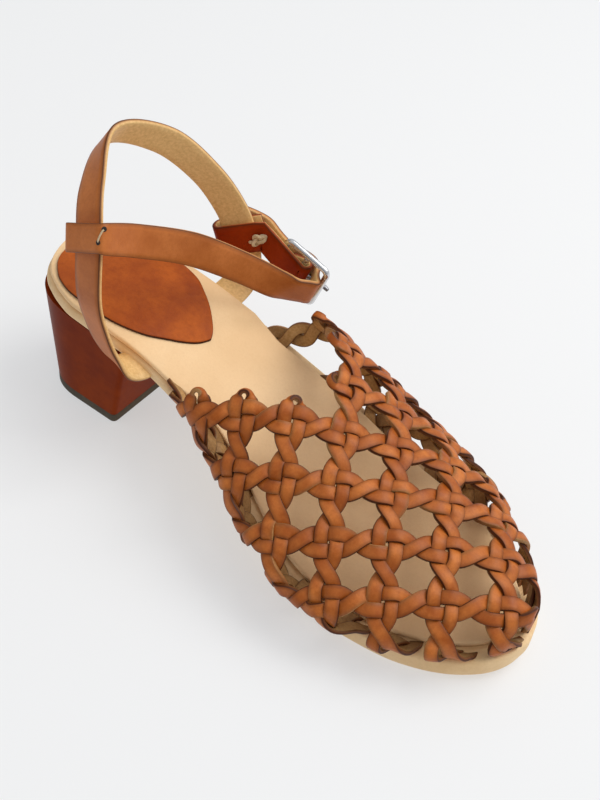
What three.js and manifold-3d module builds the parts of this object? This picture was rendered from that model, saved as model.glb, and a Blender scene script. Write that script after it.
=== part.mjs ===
// Woven block-heel ankle-strap sandal, left foot. Millimetres, +X to the toe, +Y to the outer side, +Z up.
// Stations along the foot count from the back of the heel; the origin is under the middle of the heel.
import * as THREE from 'three';
import Module from 'manifold-3d';

const wasm = await Module();
wasm.setup();

// Driving sizes
const soleLength = 240;
const heelMiddle = 27;
const gap = 0.3;
const insoleThickness = 2.4;
const toeSpring = 5;
const flatFrom = 160;
const flatTo = 200;
const padThickness = 1.1;
const topPieceHeight = 4.2;
const strapWidth = 13.5;
const strapThickness = 2;
const stripWidth = 5.4;
const stripThickness = 1.8;
const weaveRise = 0.7;
const weavePitch = 21.5;
const flatScale = 20;
const pairOffset = 0.15;
const nodeReach = 0.2;
const stripHalf = stripWidth / 2 / weavePitch;
const blockHalf = pairOffset + stripHalf;
const tabLength = 0.09;
const seamDepth = 2.5;
const seamInset = 2.6;
const insoleInset = 5.4;
const plainInset = 1.2;
const domeEnd = 236;
const throatX = 148;
const domePower = 2.5;
const wireRadius = 1.35;
const barRadius = 1.2;
const prongRadius = 1.0;
const slotClearance = 0.35;
const soleStations = 46;
const insoleStations = 44;
const soleRim = 2.4;
const insoleRim = 1;
const padBevel = 0.5;
const strapSteps = 4;
const tuckCount = 15;
const innerFoldAt = 6;
const outerFoldAt = 12;

// Plan of the footbed and its top height: station, inner edge, outer edge, height
const footbed = {
  x: [0, 2, 5, 10, 15, 20, 30, 40, 50, 60, 70, 80, 90, 100, 110, 120, 130, 140, 150, 160, 170, 180, 190,
    200, 210, 220, 228, 234, 238, 240],
  inner: [0, -7.6, -14, -19.3, -22, -24.1, -26.3, -26.3, -25.7, -24.8, -24.1, -23.8, -24.4, -25.9, -28.4,
    -31.8, -36, -39.8, -42.8, -44.6, -45.5, -45.6, -44.8, -43.2, -40.2, -35.9, -30.8, -25.2, -18, -9.6],
  outer: [0, 7.6, 14, 19.3, 22, 24.1, 26.3, 26.6, 27.2, 28.3, 29.8, 31.9, 34, 35.8, 37.4, 38.8, 39.7, 40,
    39.7, 38.9, 38.1, 36.9, 34.7, 31.8, 27, 20.9, 14.3, 7.3, -0.8, -9.6],
  top: [59.2, 59.2, 59.1, 59, 58.8, 58.5, 57.8, 56.9, 55.6, 53.2, 49.6, 45.1, 40.3, 35.7, 31.2, 26.8, 22.6,
    18.8, 15.5, 13, 12.1, 12, 12, 12.2, 12.7, 13.7, 14.9, 16, 16.8, 17.2],
};
const soleDepth = { x: [0, 60, 100, 140, 165, 240], depth: [5.4, 5.4, 6.4, 8.4, 9.3, 9.3] };
const vampCrest = {
  x: [60, 95, 120, 147, 165, 180, 200, 220, 230, 236],
  height: [48, 44, 41, 38.5, 36, 31.7, 25.5, 20.5, 16, 11.5],
};
const vampBulge = {
  x: [60, 90, 120, 150, 180, 205, 236],
  inner: [5, 10, 13, 14, 12.5, 9.5, 4],
  outer: [1.5, 4, 7, 9, 8, 5, 1.5],
};
const bulgeFall = { inner: 2.6, outer: 1.6 };
const padEdge = {
  x: [6, 8, 12, 18, 26, 36, 46, 54, 60, 66, 71, 74.5, 76],
  inner: [-2, -10, -15.5, -19.8, -22, -22.4, -21.4, -19, -15.8, -10.6, -5.6, -0.6, 3.6],
  outer: [2, 9, 14, 18.3, 20.6, 21.8, 22.6, 21.6, 18.8, 15.2, 11, 7.2, 4.4],
};

// The two directions of the weave on the flat pattern, along the foot and across it
const rowStep = { along: 17.9, across: 14.6 };
const columnStep = { along: 10, across: -16 };
const weaveStart = { along: -0.5, across: -4.5 };
const backLean = 1.3;
const rowNumbers = [-3, -2, -1, 0, 1, 2, 3];
const columnNumbers = [-3, -2, -1, 0, 1, 2, 3, 4];

// Straps: centre of the band and the direction from its lower to its upper edge
const backStrapPath = [
  { x: 63.6, y: -17.5, z: 46.6, wx: 0.93, wy: 0.03, wz: -0.36 },
  { x: 63.2, y: -24.9, z: 46.3, wx: 0.93, wy: 0, wz: -0.36 },
  { x: 60.4, y: -30.4, z: 48.6, wx: 0.93, wy: -0.1, wz: -0.2 },
  { x: 56.2, y: -33, z: 55, wx: 0.95, wy: -0.2, wz: 0.05 },
  { x: 52.4, y: -34.6, z: 65.5, wx: 0.97, wy: -0.18, wz: 0.1 },
  { x: 49.4, y: -35.4, z: 80.3, wx: 0.97, wy: -0.14, wz: 0.18 },
  { x: 44.7, y: -29.4, z: 99.6, wx: 0.9, wy: 0, wz: 0.43 },
  { x: 34.8, y: -17, z: 112.8, wx: 0.8, wy: 0.05, wz: 0.59 },
  { x: 27.2, y: 0.9, z: 122.2, wx: 0.53, wy: -0.03, wz: 0.85 },
  { x: 36, y: 20.3, z: 114.5, wx: 0.5, wy: 0.3, wz: 0.81 },
  { x: 46, y: 34.2, z: 97, wx: 0.72, wy: 0.36, wz: 0.58 },
  { x: 52.6, y: 42.8, z: 79, wx: 0.78, wy: 0.45, wz: 0.44 },
  { x: 57.6, y: 44.6, z: 66.5, wx: 0.82, wy: 0.5, wz: 0.25 },
  { x: 60.6, y: 44.6, z: 55.5, wx: 0.87, wy: 0.4, wz: 0.05 },
  { x: 62.6, y: 39.4, z: 48.2, wx: 0.93, wy: 0.18, wz: -0.2 },
  { x: 63.2, y: 28.4, z: 46.4, wx: 0.93, wy: 0.02, wz: -0.36 },
  { x: 63.6, y: 21, z: 46.6, wx: 0.93, wy: 0, wz: -0.36 },
];
const frontStrapPath = [
  { x: 54, y: -13.6, z: 96, wx: -0.25, wy: 0.4, wz: 0.88 },
  { x: 63.6, y: 5.4, z: 86.2, wx: 0, wy: 0.42, wz: 0.91 },
  { x: 74.4, y: 23.6, z: 72, wx: 0.18, wy: 0.42, wz: 0.89 },
  { x: 83.5, y: 34.7, z: 62.1, wx: 0.25, wy: 0.3, wz: 0.9 },
];
const buckleCentre = new THREE.Vector3(84.1, 50.8, 58.3);
const buckleAlong = new THREE.Vector3(0.951, 0.031, -0.309).normalize();
const buckleLean = new THREE.Vector3(0.309, 0.004, 0.951);
const buckleSize = { length: 21, width: 21.5, corner: 2.4 };

// Run of the front strap through the buckle, measured from the middle of its frame
const throughBuckle = [
  { along: 3, out: -11, across: 1 },
  { along: 7.4, out: -6.6, across: 0.4 },
  { along: 9.4, out: -4.5, across: 0 },
  { along: 9.8, out: -3.2, across: 0 },
  { along: 8.7, out: -2.1, across: 0 },
  { along: 6.9, out: -0.3, across: 0 },
  { along: 5.6, out: 2, across: 0 },
  { along: 3.7, out: 4.2, across: 0 },
  { along: 0.5, out: 5.4, across: 0 },
  { along: -4, out: 4.8, across: 0 },
  { along: -10.5, out: 3.1, across: 0 },
  { along: -16.5, out: 3.8, across: 0 },
  { along: -23, out: 5.4, across: 0 },
  { along: -28.5, out: 4.2, across: 0 },
  { along: -34.6, out: 1.4, across: 0 },
];

const lerp = (a, b, t) => a + (b - a) * t;
const clamp = (v, lo, hi) => Math.min(hi, Math.max(lo, v));

// Value of a table column at x, straight between its entries
function look(table, column, x) {
  const xs = table.x;
  const ys = table[column];
  if (x <= xs[0]) return ys[0];
  for (let k = 1; k < xs.length; k += 1) {
    if (x <= xs[k]) return lerp(ys[k - 1], ys[k], (x - xs[k - 1]) / (xs[k] - xs[k - 1]));
  }
  return ys[ys.length - 1];
}

// Smooth value of a table column: the mean of close readings round x
function smooth(table, column, x, reach = 5) {
  let sum = 0;
  for (let k = -2; k <= 2; k += 1) sum += look(table, column, x + (k * reach) / 2);
  return sum / 5;
}

const bedTop = (x) => smooth(footbed, 'top', clamp(x, 0, soleLength), 6);
const soleTop = (x) => bedTop(x) - insoleThickness - gap;

function soleBottom(x) {
  if (x >= flatFrom && x <= flatTo) return 0;
  if (x > flatTo) return toeSpring * ((x - flatTo) / (soleLength - flatTo)) ** 2;
  const under = soleTop(x) - smooth(soleDepth, 'depth', x);
  return x > flatFrom - 12 ? Math.max(0, under * (flatFrom - x) / 12) : Math.max(0, under);
}

// A closed solid from rings of equal size, with a flat fan at each end
function fromRings(rings, closed = false) {
  const count = rings[0].length;
  const place = [];
  const index = [];
  rings.forEach((ring) => ring.forEach((v) => place.push(v.x, v.y, v.z)));
  const spans = closed ? rings.length : rings.length - 1;
  for (let r = 0; r < spans; r += 1) {
    const a = r * count;
    const b = ((r + 1) % rings.length) * count;
    for (let k = 0; k < count; k += 1) {
      const n = (k + 1) % count;
      index.push(a + k, a + n, b + k, a + n, b + n, b + k);
    }
  }
  if (!closed) {
    [[0, -1], [rings.length - 1, 1]].forEach(([r, sense]) => {
      const c = rings[r].reduce((s, v) => s.add(v), new THREE.Vector3()).divideScalar(count);
      const centre = place.length / 3;
      place.push(c.x, c.y, c.z);
      for (let k = 0; k < count; k += 1) {
        const p = r * count + k;
        const q = r * count + (k + 1) % count;
        if (sense > 0) index.push(centre, p, q);
        else index.push(centre, q, p);
      }
    });
  }
  let volume = 0;
  const a = new THREE.Vector3();
  const b = new THREE.Vector3();
  const c = new THREE.Vector3();
  for (let k = 0; k < index.length; k += 3) {
    a.fromArray(place, index[k] * 3);
    b.fromArray(place, index[k + 1] * 3);
    c.fromArray(place, index[k + 2] * 3);
    volume += a.dot(b.cross(c));
  }
  if (volume < 0) {
    for (let k = 0; k < index.length; k += 3) [index[k + 1], index[k + 2]] = [index[k + 2], index[k + 1]];
  }
  return { place, index };
}

const toManifold = (s) => new wasm.Manifold(new wasm.Mesh({
  numProp: 3,
  vertProperties: new Float32Array(s.place),
  triVerts: new Uint32Array(s.index),
}));

function toSolid(manifold) {
  const mesh = manifold.getMesh();
  return { place: Array.from(mesh.vertProperties), index: Array.from(mesh.triVerts) };
}

const joined = (list) => list.reduce((sum, m) => (sum ? sum.add(m) : m), null);

const group = new THREE.Group();

function addPiece(name, solid, colour, roughness, metalness = 0) {
  const geometry = new THREE.BufferGeometry();
  geometry.setAttribute('position', new THREE.Float32BufferAttribute(solid.place, 3));
  geometry.setIndex(solid.index);
  geometry.translate(-heelMiddle, 0, 0);
  geometry.computeVertexNormals();
  const finish = new THREE.MeshStandardMaterial({ color: colour, roughness, metalness });
  const mesh = new THREE.Mesh(geometry, finish);
  mesh.name = name;
  group.add(mesh);
}

// Points of a path through a list of stations, each station a set of named numbers
function along(stations, steps) {
  const keys = ['x', 'y', 'z', 'wx', 'wy', 'wz'];
  const out = [];
  const last = stations.length - 1;
  for (let s = 0; s < last; s += 1) {
    const four = [-1, 0, 1, 2].map((step) => stations[clamp(s + step, 0, last)]);
    const end = s === last - 1 ? steps : steps - 1;
    for (let k = 0; k <= end; k += 1) {
      const t = k / steps;
      const v = keys.map((key) => {
        const [a, b, c, d] = four.map((f) => f[key]);
        return b + 0.5 * t * (c - a + t * (2 * a - 5 * b + 4 * c - d + t * (3 * (b - c) + d - a)));
      });
      const [x, y, z, ...width] = v;
      out.push({ centre: new THREE.Vector3(x, y, z), across: new THREE.Vector3(...width) });
    }
  }
  return out;
}

const asStation = ({ centre, across }) => ({
  x: centre.x, y: centre.y, z: centre.z, wx: across.x, wy: across.y, wz: across.z,
});

// Unit tangent, width and face directions at each point of a path
function framed(points) {
  return points.map((p, k) => {
    const a = points[Math.max(0, k - 1)].centre;
    const b = points[Math.min(points.length - 1, k + 1)].centre;
    const tangent = b.clone().sub(a).normalize();
    const across = p.across.clone().addScaledVector(tangent, -p.across.dot(tangent)).normalize();
    const face = tangent.clone().cross(across).normalize();
    return { centre: p.centre, tangent, across, face };
  });
}

// A flat band of four-sided sections along a framed path
function band(frames, width, thickness) {
  const shape = [[-1, -1], [1, -1], [1, 1], [-1, 1]].map(([u, v]) => [(u * width) / 2, (v * thickness) / 2]);
  return fromRings(frames.map(({ centre, across, face }) => shape.map(([w, h]) => (
    centre.clone().addScaledVector(across, w).addScaledVector(face, h)
  ))));
}

// A round rod along a list of points
function rod(points, radius, sides, sideways, closed = false) {
  const count = points.length;
  const rings = points.map((p, k) => {
    const a = points[closed ? (k + count - 1) % count : Math.max(0, k - 1)];
    const b = points[closed ? (k + 1) % count : Math.min(count - 1, k + 1)];
    const tangent = b.clone().sub(a).normalize();
    const side = sideways.clone().addScaledVector(tangent, -sideways.dot(tangent)).normalize();
    const up = tangent.clone().cross(side);
    return Array.from({ length: sides }, (unused, m) => {
      const angle = (2 * Math.PI * m) / sides;
      const [c, h] = [radius * Math.cos(angle), radius * Math.sin(angle)];
      return p.clone().addScaledVector(side, c).addScaledVector(up, h);
    });
  });
  return fromRings(rings, closed);
}

// Stations along the foot, closer together at the heel and the toe
function footStations(from, to, count) {
  const share = (k) => (1 - Math.cos((Math.PI * k) / (count - 1))) / 2;
  return Array.from({ length: count }, (unused, k) => lerp(from, to, share(k)));
}

// Edge of the footbed at x, drawn in by an inset
function bedEdge(x, inset) {
  const squeeze = (soleLength - 2 * inset) / soleLength;
  const u = clamp((x - inset) / squeeze, 0, soleLength);
  const inner = look(footbed, 'inner', u);
  const outer = look(footbed, 'outer', u);
  const half = Math.max(0.6, (outer - inner) / 2 - inset * 0.9);
  return { middle: (inner + outer) / 2, half };
}

// A layer of the sole: rings across the foot with rounded rims
function layer(from, to, count, inset, bottom, top, rim) {
  return fromRings(footStations(from, to, count).map((x) => {
    const { middle, half } = bedEdge(x, inset(x));
    const low = bottom(x);
    const high = top(x);
    const cut = Math.min(rim, (high - low) * 0.45, half * 0.5);
    return [
      [-half + cut, low], [-half + cut * 0.3, low + cut * 0.3], [-half, low + cut], [-half, high - cut],
      [-half + cut * 0.3, high - cut * 0.3], [-half + cut, high], [half - cut, high],
      [half - cut * 0.3, high - cut * 0.3], [half, high - cut], [half, low + cut],
      [half - cut * 0.3, low + cut * 0.3], [half - cut, low],
    ].map(([y, z]) => new THREE.Vector3(x, middle + y, z));
  }));
}

const insoleInsetAt = (x) => lerp(plainInset, insoleInset, clamp((x - 78) / 14, 0, 1));

// Back strap, rising from the waist, round behind the ankle and down to the outer side
const backFrames = framed(along(backStrapPath, strapSteps));
const backStrap = band(backFrames, strapWidth, strapThickness);
const roomy = 2 * slotClearance;
const slotCut = (frames) => {
  const last = frames.length - 1;
  const longer = frames.map((frame, k) => {
    const push = (k === last ? 1 : 0) - (k === 0 ? 1 : 0);
    return { ...frame, centre: frame.centre.clone().addScaledVector(frame.tangent, push * slotClearance) };
  });
  return toManifold(band(longer, strapWidth + roomy, strapThickness + roomy));
};
const innerSlot = slotCut(backFrames.slice(0, tuckCount));
const outerSlot = slotCut(backFrames.slice(-tuckCount));

// Sole, with a slot at each side for the ends of the back strap
const soleSolid = layer(gap, soleLength - gap, soleStations, () => 0, soleBottom, soleTop, soleRim);
const soleCut = toManifold(soleSolid).subtract(innerSlot).subtract(outerSlot);
addPiece('sole', toSolid(soleCut), 0xe6c79a, 0.6);

// Insole, drawn in where the vamp is lasted round it
const insoleUnder = (x) => soleTop(x) + gap;
const insoleEnd = soleLength - insoleInset + 0.6;
const insoleStart = plainInset + 0.2;
const insoleSolid = layer(insoleStart, insoleEnd, insoleStations, insoleInsetAt, insoleUnder, bedTop, insoleRim);
const insoleCut = toManifold(insoleSolid).subtract(innerSlot).subtract(outerSlot);
addPiece('insole', toSolid(insoleCut), 0xecd0a0, 0.62);

// Heel pad, a shield with its point to the front
const padRings = footStations(6, 76, 22).map((x) => {
  const inner = look(padEdge, 'inner', x);
  const outer = look(padEdge, 'outer', x);
  const low = bedTop(x) + gap;
  const rim = padThickness * 0.6;
  return [
    [inner, 0], [outer, 0], [outer, rim],
    [outer - padBevel, padThickness], [inner + padBevel, padThickness], [inner, rim],
  ].map(([y, h]) => new THREE.Vector3(x, y, low + h));
});
addPiece('heel_pad', fromRings(padRings), 0xa5522a, 0.75);

// Outline of the heel at a share of its height, flat at the breast and round behind
function heelRing(share) {
  const back = lerp(6, 1.4, share);
  const front = lerp(48.5, 57, share);
  const half = lerp(23.3, 25.2, share);
  const widest = lerp(27, 29, share);
  const ring = [];
  const arcs = 22;
  for (let k = 0; k <= arcs; k += 1) {
    const angle = Math.PI * (k / arcs - 0.5);
    const c = Math.abs(Math.cos(angle)) ** 0.8;
    const s = Math.sign(Math.sin(angle)) * Math.abs(Math.sin(angle)) ** 0.8;
    ring.push([widest - (widest - back) * c, half * s]);
  }
  const round = 2.2;
  ring.push([front - round, half], [front - round * 0.3, half - round * 0.3], [front, half - round]);
  ring.push([front, -half + round], [front - round * 0.3, -half + round * 0.3], [front - round, -half]);
  return ring;
}
const heelLevels = [0, 0.25, 0.55, 0.85, 1];
const heelRings = heelLevels.map((level) => heelRing(level).map(([x, y]) => {
  const high = soleBottom(x) - gap;
  return new THREE.Vector3(x, y, lerp(topPieceHeight + gap, high, level));
}));
addPiece('heel', fromRings(heelRings), 0x6e2f18, 0.35);
const topPieceRing = (z) => heelRing(0).map(([x, y]) => new THREE.Vector3(x, y, z));
addPiece('top_piece', fromRings([topPieceRing(0), topPieceRing(topPieceHeight)]), 0x4a4130, 0.8);

// Vamp: point of its mid surface at a distance along the crest and across it
const crestStations = Array.from({ length: 200 }, (unused, k) => lerp(60, domeEnd, k / 199));
const crestHeight = (x) => soleTop(x) + gap + 1.4 + smooth(vampCrest, 'height', x, 10);
const crestLength = [0];
for (let k = 1; k < crestStations.length; k += 1) {
  const dx = crestStations[k] - crestStations[k - 1];
  const dz = crestHeight(crestStations[k]) - crestHeight(crestStations[k - 1]);
  crestLength.push(crestLength[k - 1] + Math.hypot(dx, dz));
}
const crestTable = { x: crestLength, station: crestStations };
const throatLength = look({ x: crestStations, length: crestLength }, 'length', throatX);
const crestEnd = crestLength[crestLength.length - 1];
const girthSteps = 40;

function vampPoint(distance, across) {
  const length = throatLength + distance;
  const x = look(crestTable, 'station', length);
  const past = Math.max(0, length - crestEnd);
  const { middle, half } = bedEdge(x, seamInset);
  const base = soleTop(x) + gap + 1.4;
  const high = smooth(vampCrest, 'height', x, 10);
  const flank = across < 0 ? 'inner' : 'outer';
  const fall = bulgeFall[flank];
  const peak = fall ** fall / (1 + fall) ** (1 + fall);
  const bulge = smooth(vampBulge, flank, x, 10) / peak;
  const side = Math.sign(across) || 1;
  let reach = Math.abs(across);
  let before = new THREE.Vector2(0, high);
  for (let k = 1; k <= girthSteps; k += 1) {
    const angle = (Math.PI / 2) * (k / girthSteps);
    const rise = Math.cos(angle) ** (2 / domePower);
    const out = half * Math.sin(angle) ** (2 / domePower) + bulge * rise * (1 - rise) ** fall;
    const here = new THREE.Vector2(out, k === girthSteps ? 0 : high * rise);
    const step = here.distanceTo(before);
    if (reach <= step) {
      before.lerp(here, reach / step);
      reach = 0;
      break;
    }
    reach -= step;
    before = here;
  }
  const out = before.x - reach * 0.25;
  return new THREE.Vector3(x + past * 0.15, middle + side * out, base + before.y - reach - past);
}

// Point and outward direction at a place of the weave, in columns and rows
function weavePoint(column, row) {
  const back = backLean * Math.min(row, 0) ** 2;
  const distance = weaveStart.along + rowStep.along * column + columnStep.along * row - back;
  const across = weaveStart.across + rowStep.across * column + columnStep.across * row;
  return vampPoint(distance, across);
}

function weaveFrame(column, row) {
  const small = 0.06;
  const centre = weavePoint(column, row);
  const u = weavePoint(column + small, row).sub(weavePoint(column - small, row));
  const v = weavePoint(column, row + small).sub(weavePoint(column, row - small));
  return { centre, out: v.cross(u).normalize() };
}

// Side of its pair that a strip keeps at a place t: it changes sides between two nodes
function sway(t) {
  const d = Math.abs(t - Math.round(t));
  const sign = Math.round(t) % 2 === 0 ? 1 : -1;
  return d <= nodeReach ? sign : (sign * (0.5 - d)) / (0.5 - nodeReach);
}

// How far a place of the weave lies below the seam with the sole
function belowSeam(isRow, number, t) {
  const v = isRow ? weavePoint(t, number) : weavePoint(number, t);
  return soleTop(v.x) - v.z;
}

// Ends of a pair of strips: the seam with the sole, or the collar
function stripRange(isRow, number) {
  const step = 0.04;
  const open = number < 0;
  let low = open ? -blockHalf : 1;
  let high = open ? 0.2 : 1;
  while (!open && low > -5 && belowSeam(isRow, number, low) < seamDepth) low -= step;
  while (high < 6 && belowSeam(isRow, number, high) < seamDepth) high += step;
  const [first, last] = [Math.round(low), Math.round(high)];
  if (!open && Math.abs(low - first) <= blockHalf + 0.02) low = first - blockHalf;
  if (Math.abs(high - last) <= blockHalf + 0.02) high = last + blockHalf;
  return { low, high, open };
}

// Half width of a pair of strips at a place t: full at a node, one strip where the two cross
function pairHalf(t) {
  const d = Math.abs(t - Math.round(t));
  return d <= blockHalf ? blockHalf : lerp(blockHalf, stripHalf, (d - blockHalf) / (0.5 - blockHalf));
}

// The flat pattern is laid out in columns and rows as faces that share their corners
const wall = stripThickness / 2;
const corners = [];
const cornerAt = new Map();
const faces = [];
function corner(isRow, t, side) {
  const column = isRow ? t : side;
  const row = isRow ? side : t;
  const key = `${Math.round(column * 1e4)},${Math.round(row * 1e4)}`;
  if (!cornerAt.has(key)) {
    cornerAt.set(key, corners.length);
    corners.push([column, row]);
  }
  return cornerAt.get(key);
}

function addFace(isRow, list) {
  const face = list.map(([t, side]) => corner(isRow, t, side));
  faces.push(isRow ? face : face.reverse());
}

// A span of a pair between two places, in two halves that meet on its middle line
function addSpan(isRow, number, from, to) {
  const a = pairHalf(from);
  const b = pairHalf(to);
  addFace(isRow, [[from, number - a], [to, number - b], [to, number], [from, number]]);
  addFace(isRow, [[from, number], [to, number], [to, number + b], [from, number + a]]);
}

const blocks = new Set();
function addPairFaces(isRow, number, range) {
  const { low, high, open } = range;
  const nodeName = (node) => (isRow ? `${node},${number}` : `${number},${node}`);
  for (let node = Math.floor(low) - 1; node <= high + 1; node += 1) {
    const cuts = [node - blockHalf, node, node + blockHalf, node + 0.5, node + 1 - blockHalf];
    for (let k = 0; k < cuts.length - 1; k += 1) {
      const from = Math.max(cuts[k], low);
      const to = Math.min(cuts[k + 1], high);
      if (to - from > 1e-6 && !(k < 2 && blocks.has(nodeName(node)))) addSpan(isRow, number, from, to);
    }
    if (low < node && high > node) blocks.add(nodeName(node));
  }
  if (open) {
    const [near, far] = [low - tabLength * 0.6, low - tabLength];
    const [wide, narrow] = [blockHalf * 0.74, blockHalf * 0.3];
    addFace(isRow, [[near, number - wide], [low, number - blockHalf], [low, number], [near, number]]);
    addFace(isRow, [[near, number], [low, number], [low, number + blockHalf], [near, number + wide]]);
    addFace(isRow, [[far, number - narrow], [near, number - wide], [near, number], [far, number]]);
    addFace(isRow, [[far, number], [near, number], [near, number + wide], [far, number + narrow]]);
  }
}

// The wall between its two skins: every face twice, and a side at every free edge
function wallSolid() {
  const place = [];
  corners.forEach(([column, row]) => place.push(flatScale * column, flatScale * row, -wall));
  corners.forEach(([column, row]) => place.push(flatScale * column, flatScale * row, wall));
  const index = [];
  const count = corners.length;
  const free = new Map();
  faces.forEach((face) => {
    index.push(...[2, 0, 1, 3, 0, 2].map((k) => face[k] + count));
    index.push(...[0, 2, 1, 0, 3, 2].map((k) => face[k]));
    face.forEach((p, k) => {
      const q = face[(k + 1) % face.length];
      if (free.has(`${q},${p}`)) free.delete(`${q},${p}`);
      else free.set(`${p},${q}`, [p, q]);
    });
  });
  free.forEach(([p, q]) => index.push(p, q, q + count, p, q + count, p + count));
  return { place, index };
}

// A strip is raised where it passes over another, at every second crossing
const raised = [];
function addRaised(isRow, number, half, low, high) {
  const sense = isRow ? half : -half;
  for (let node = Math.floor(low) - 1; node <= high + 1; node += 1) {
    [-pairOffset, pairOffset, 0.5].forEach((d, k) => {
      const t = node + d;
      const over = (Math.abs(3 * node + k) % 2 === 0 ? 1 : -1) * sense > 0;
      const long = k === 2 ? 0.17 : 0.13;
      if (!over || t < low + long || t > high - long) return;
      const ring = (reach) => {
        const side = number + pairOffset * half * sway(t + reach);
        return [[-1, 0], [1, 0], [1, 1], [-1, 1]].map(([u, v]) => new THREE.Vector3(
          flatScale * (isRow ? t + reach : side + u * stripHalf * 0.95),
          flatScale * (isRow ? side + u * stripHalf * 0.95 : t + reach),
          v ? wall + weaveRise : 0,
        ));
      };
      raised.push(toManifold(fromRings([ring(-long), ring(long)])));
    });
  }
}

function addPair(isRow, number) {
  const range = stripRange(isRow, number);
  if (range.high - range.low < 0.5) return;
  addPairFaces(isRow, number, range);
  [1, -1].forEach((half) => addRaised(isRow, number, half, range.low, range.high));
}
rowNumbers.forEach((number) => addPair(true, number));
columnNumbers.forEach((number) => addPair(false, number));

function bent(solid) {
  const place = [];
  for (let k = 0; k < solid.place.length; k += 3) {
    const { centre, out } = weaveFrame(solid.place[k] / flatScale, solid.place[k + 1] / flatScale);
    centre.addScaledVector(out, solid.place[k + 2]);
    place.push(centre.x, centre.y, centre.z);
  }
  const turned = [];
  for (let k = 0; k < solid.index.length; k += 3) {
    const [a, b, c] = solid.index.slice(k, k + 3);
    turned.push(a, c, b);
  }
  return { place, index: turned };
}

// The seat of the upper: everything below the sole's top face and inside the insole's edge is cut away
const seatSolid = fromRings(footStations(-10, soleLength + 30, 60).map((x) => {
  const high = soleTop(clamp(x, 0, soleLength)) + gap;
  return [[-90, -60], [90, -60], [90, high], [-90, high]].map(([y, z]) => new THREE.Vector3(x, y, z));
}));
const roomInset = (x) => insoleInsetAt(x) - slotClearance;
const roomUnder = (x) => soleTop(x) - 2;
const roomOver = (x) => bedTop(x) + gap;
const insoleRoom = layer(0.4, insoleEnd + 0.4, insoleStations, roomInset, roomUnder, roomOver, 0.6);
const flatWeave = toSolid(joined([toManifold(wallSolid()), ...raised]));
const weave = toManifold(bent(flatWeave)).subtract(toManifold(seatSolid)).subtract(toManifold(insoleRoom));
addPiece('upper', toSolid(weave), 0xb0683a, 0.5);

addPiece('back_strap', backStrap, 0xa8643a, 0.5);

// A strap folded round the back strap: rows of (along the fold, off the face) measured from the band
const foldOff = strapThickness + 1;
const foldTurn = strapWidth / 2 + 0.7;
const foldRun = [9.5, 3, -3, -foldTurn].map((run) => ({ run, off: -foldOff }));
for (let k = 1; k < 6; k += 1) {
  const angle = (Math.PI * k) / 6;
  foldRun.push({ run: -foldTurn - foldOff * 0.8 * Math.sin(angle), off: -foldOff * Math.cos(angle) });
}
foldRun.push(...[-foldTurn, -3, 3, 9.5].map((run) => ({ run, off: foldOff })));

function foldRound(frame, runSign, faceSign, widthSign) {
  const across = frame.tangent.clone().multiplyScalar(widthSign);
  return foldRun.map(({ run, off }) => {
    const centre = frame.centre.clone().addScaledVector(frame.across, runSign * run);
    return { centre: centre.addScaledVector(frame.face, faceSign * off), across };
  });
}

const stationFrame = (k) => backFrames[k * strapSteps];
const innerFold = stationFrame(innerFoldAt);
const outerFold = stationFrame(outerFoldAt);
const towardsFront = new THREE.Vector3(0.46, -0.51, 0.73);
const towardsInside = new THREE.Vector3(0.55, -0.54, 0.59);
const faceTo = (frame, direction) => Math.sign(frame.face.dot(direction));

// Directions of the buckle: along the strap, across it and away from the ankle
const leanShare = buckleLean.dot(buckleAlong);
const buckleAcross = buckleLean.clone().addScaledVector(buckleAlong, -leanShare).normalize();
const buckleOut = buckleAcross.clone().cross(buckleAlong).normalize();
const inBuckle = (d, out, across = 0) => buckleCentre.clone().addScaledVector(buckleAlong, d)
  .addScaledVector(buckleOut, out).addScaledVector(buckleAcross, across);

// Frame of the buckle: a rounded oblong of wire with a bar across its middle
const wirePoints = [];
const { length: frameLength, width: frameWidth, corner: frameCorner } = buckleSize;
[[1, 1, 0], [-1, 1, 1], [-1, -1, 2], [1, -1, 3]].forEach(([u, v, quarter]) => {
  for (let k = 0; k <= 4; k += 1) {
    const angle = (Math.PI / 2) * (quarter + k / 4);
    const d = u * (frameLength / 2 - frameCorner) + frameCorner * Math.cos(angle);
    const c = v * (frameWidth / 2 - frameCorner) + frameCorner * Math.sin(angle);
    wirePoints.push(inBuckle(d, 0, c));
  }
});
const barEnds = [-frameWidth / 2, frameWidth / 2].map((across) => inBuckle(0, 0, across));
const wireLoop = toManifold(rod(wirePoints, wireRadius, 8, buckleOut, true));
const wire = wireLoop.add(toManifold(rod(barEnds, barRadius, 8, buckleOut)));
addPiece('buckle_frame', toSolid(wire), 0xb8bcc0, 0.25, 1);
const loopRoom = toManifold(rod(wirePoints, wireRadius + gap, 8, buckleOut, true));
const wireRoom = loopRoom.add(toManifold(rod(barEnds, barRadius + gap, 8, buckleOut)));

// Prong, from the centre bar over the front bar
const prongPlaces = [
  { along: barRadius + gap + 0.1, out: 0.2 },
  { along: 5.5, out: 1.8 },
  { along: frameLength / 2, out: wireRadius + prongRadius + gap },
  { along: frameLength / 2 + 3.2, out: wireRadius + prongRadius + 0.1 },
];
const prongPoints = prongPlaces.map((p) => inBuckle(p.along, p.out));
addPiece('buckle_prong', rod(prongPoints, prongRadius, 8, buckleAcross), 0xa8acb0, 0.3, 1);
const prongEnds = prongPlaces.map((p, k) => {
  const push = (k === prongPlaces.length - 1 ? 1 : 0) - (k === 0 ? 1 : 0);
  return inBuckle(p.along + push * slotClearance, p.out);
});
const prongRoom = toManifold(rod(prongEnds, prongRadius + slotClearance, 8, buckleAcross));

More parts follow.
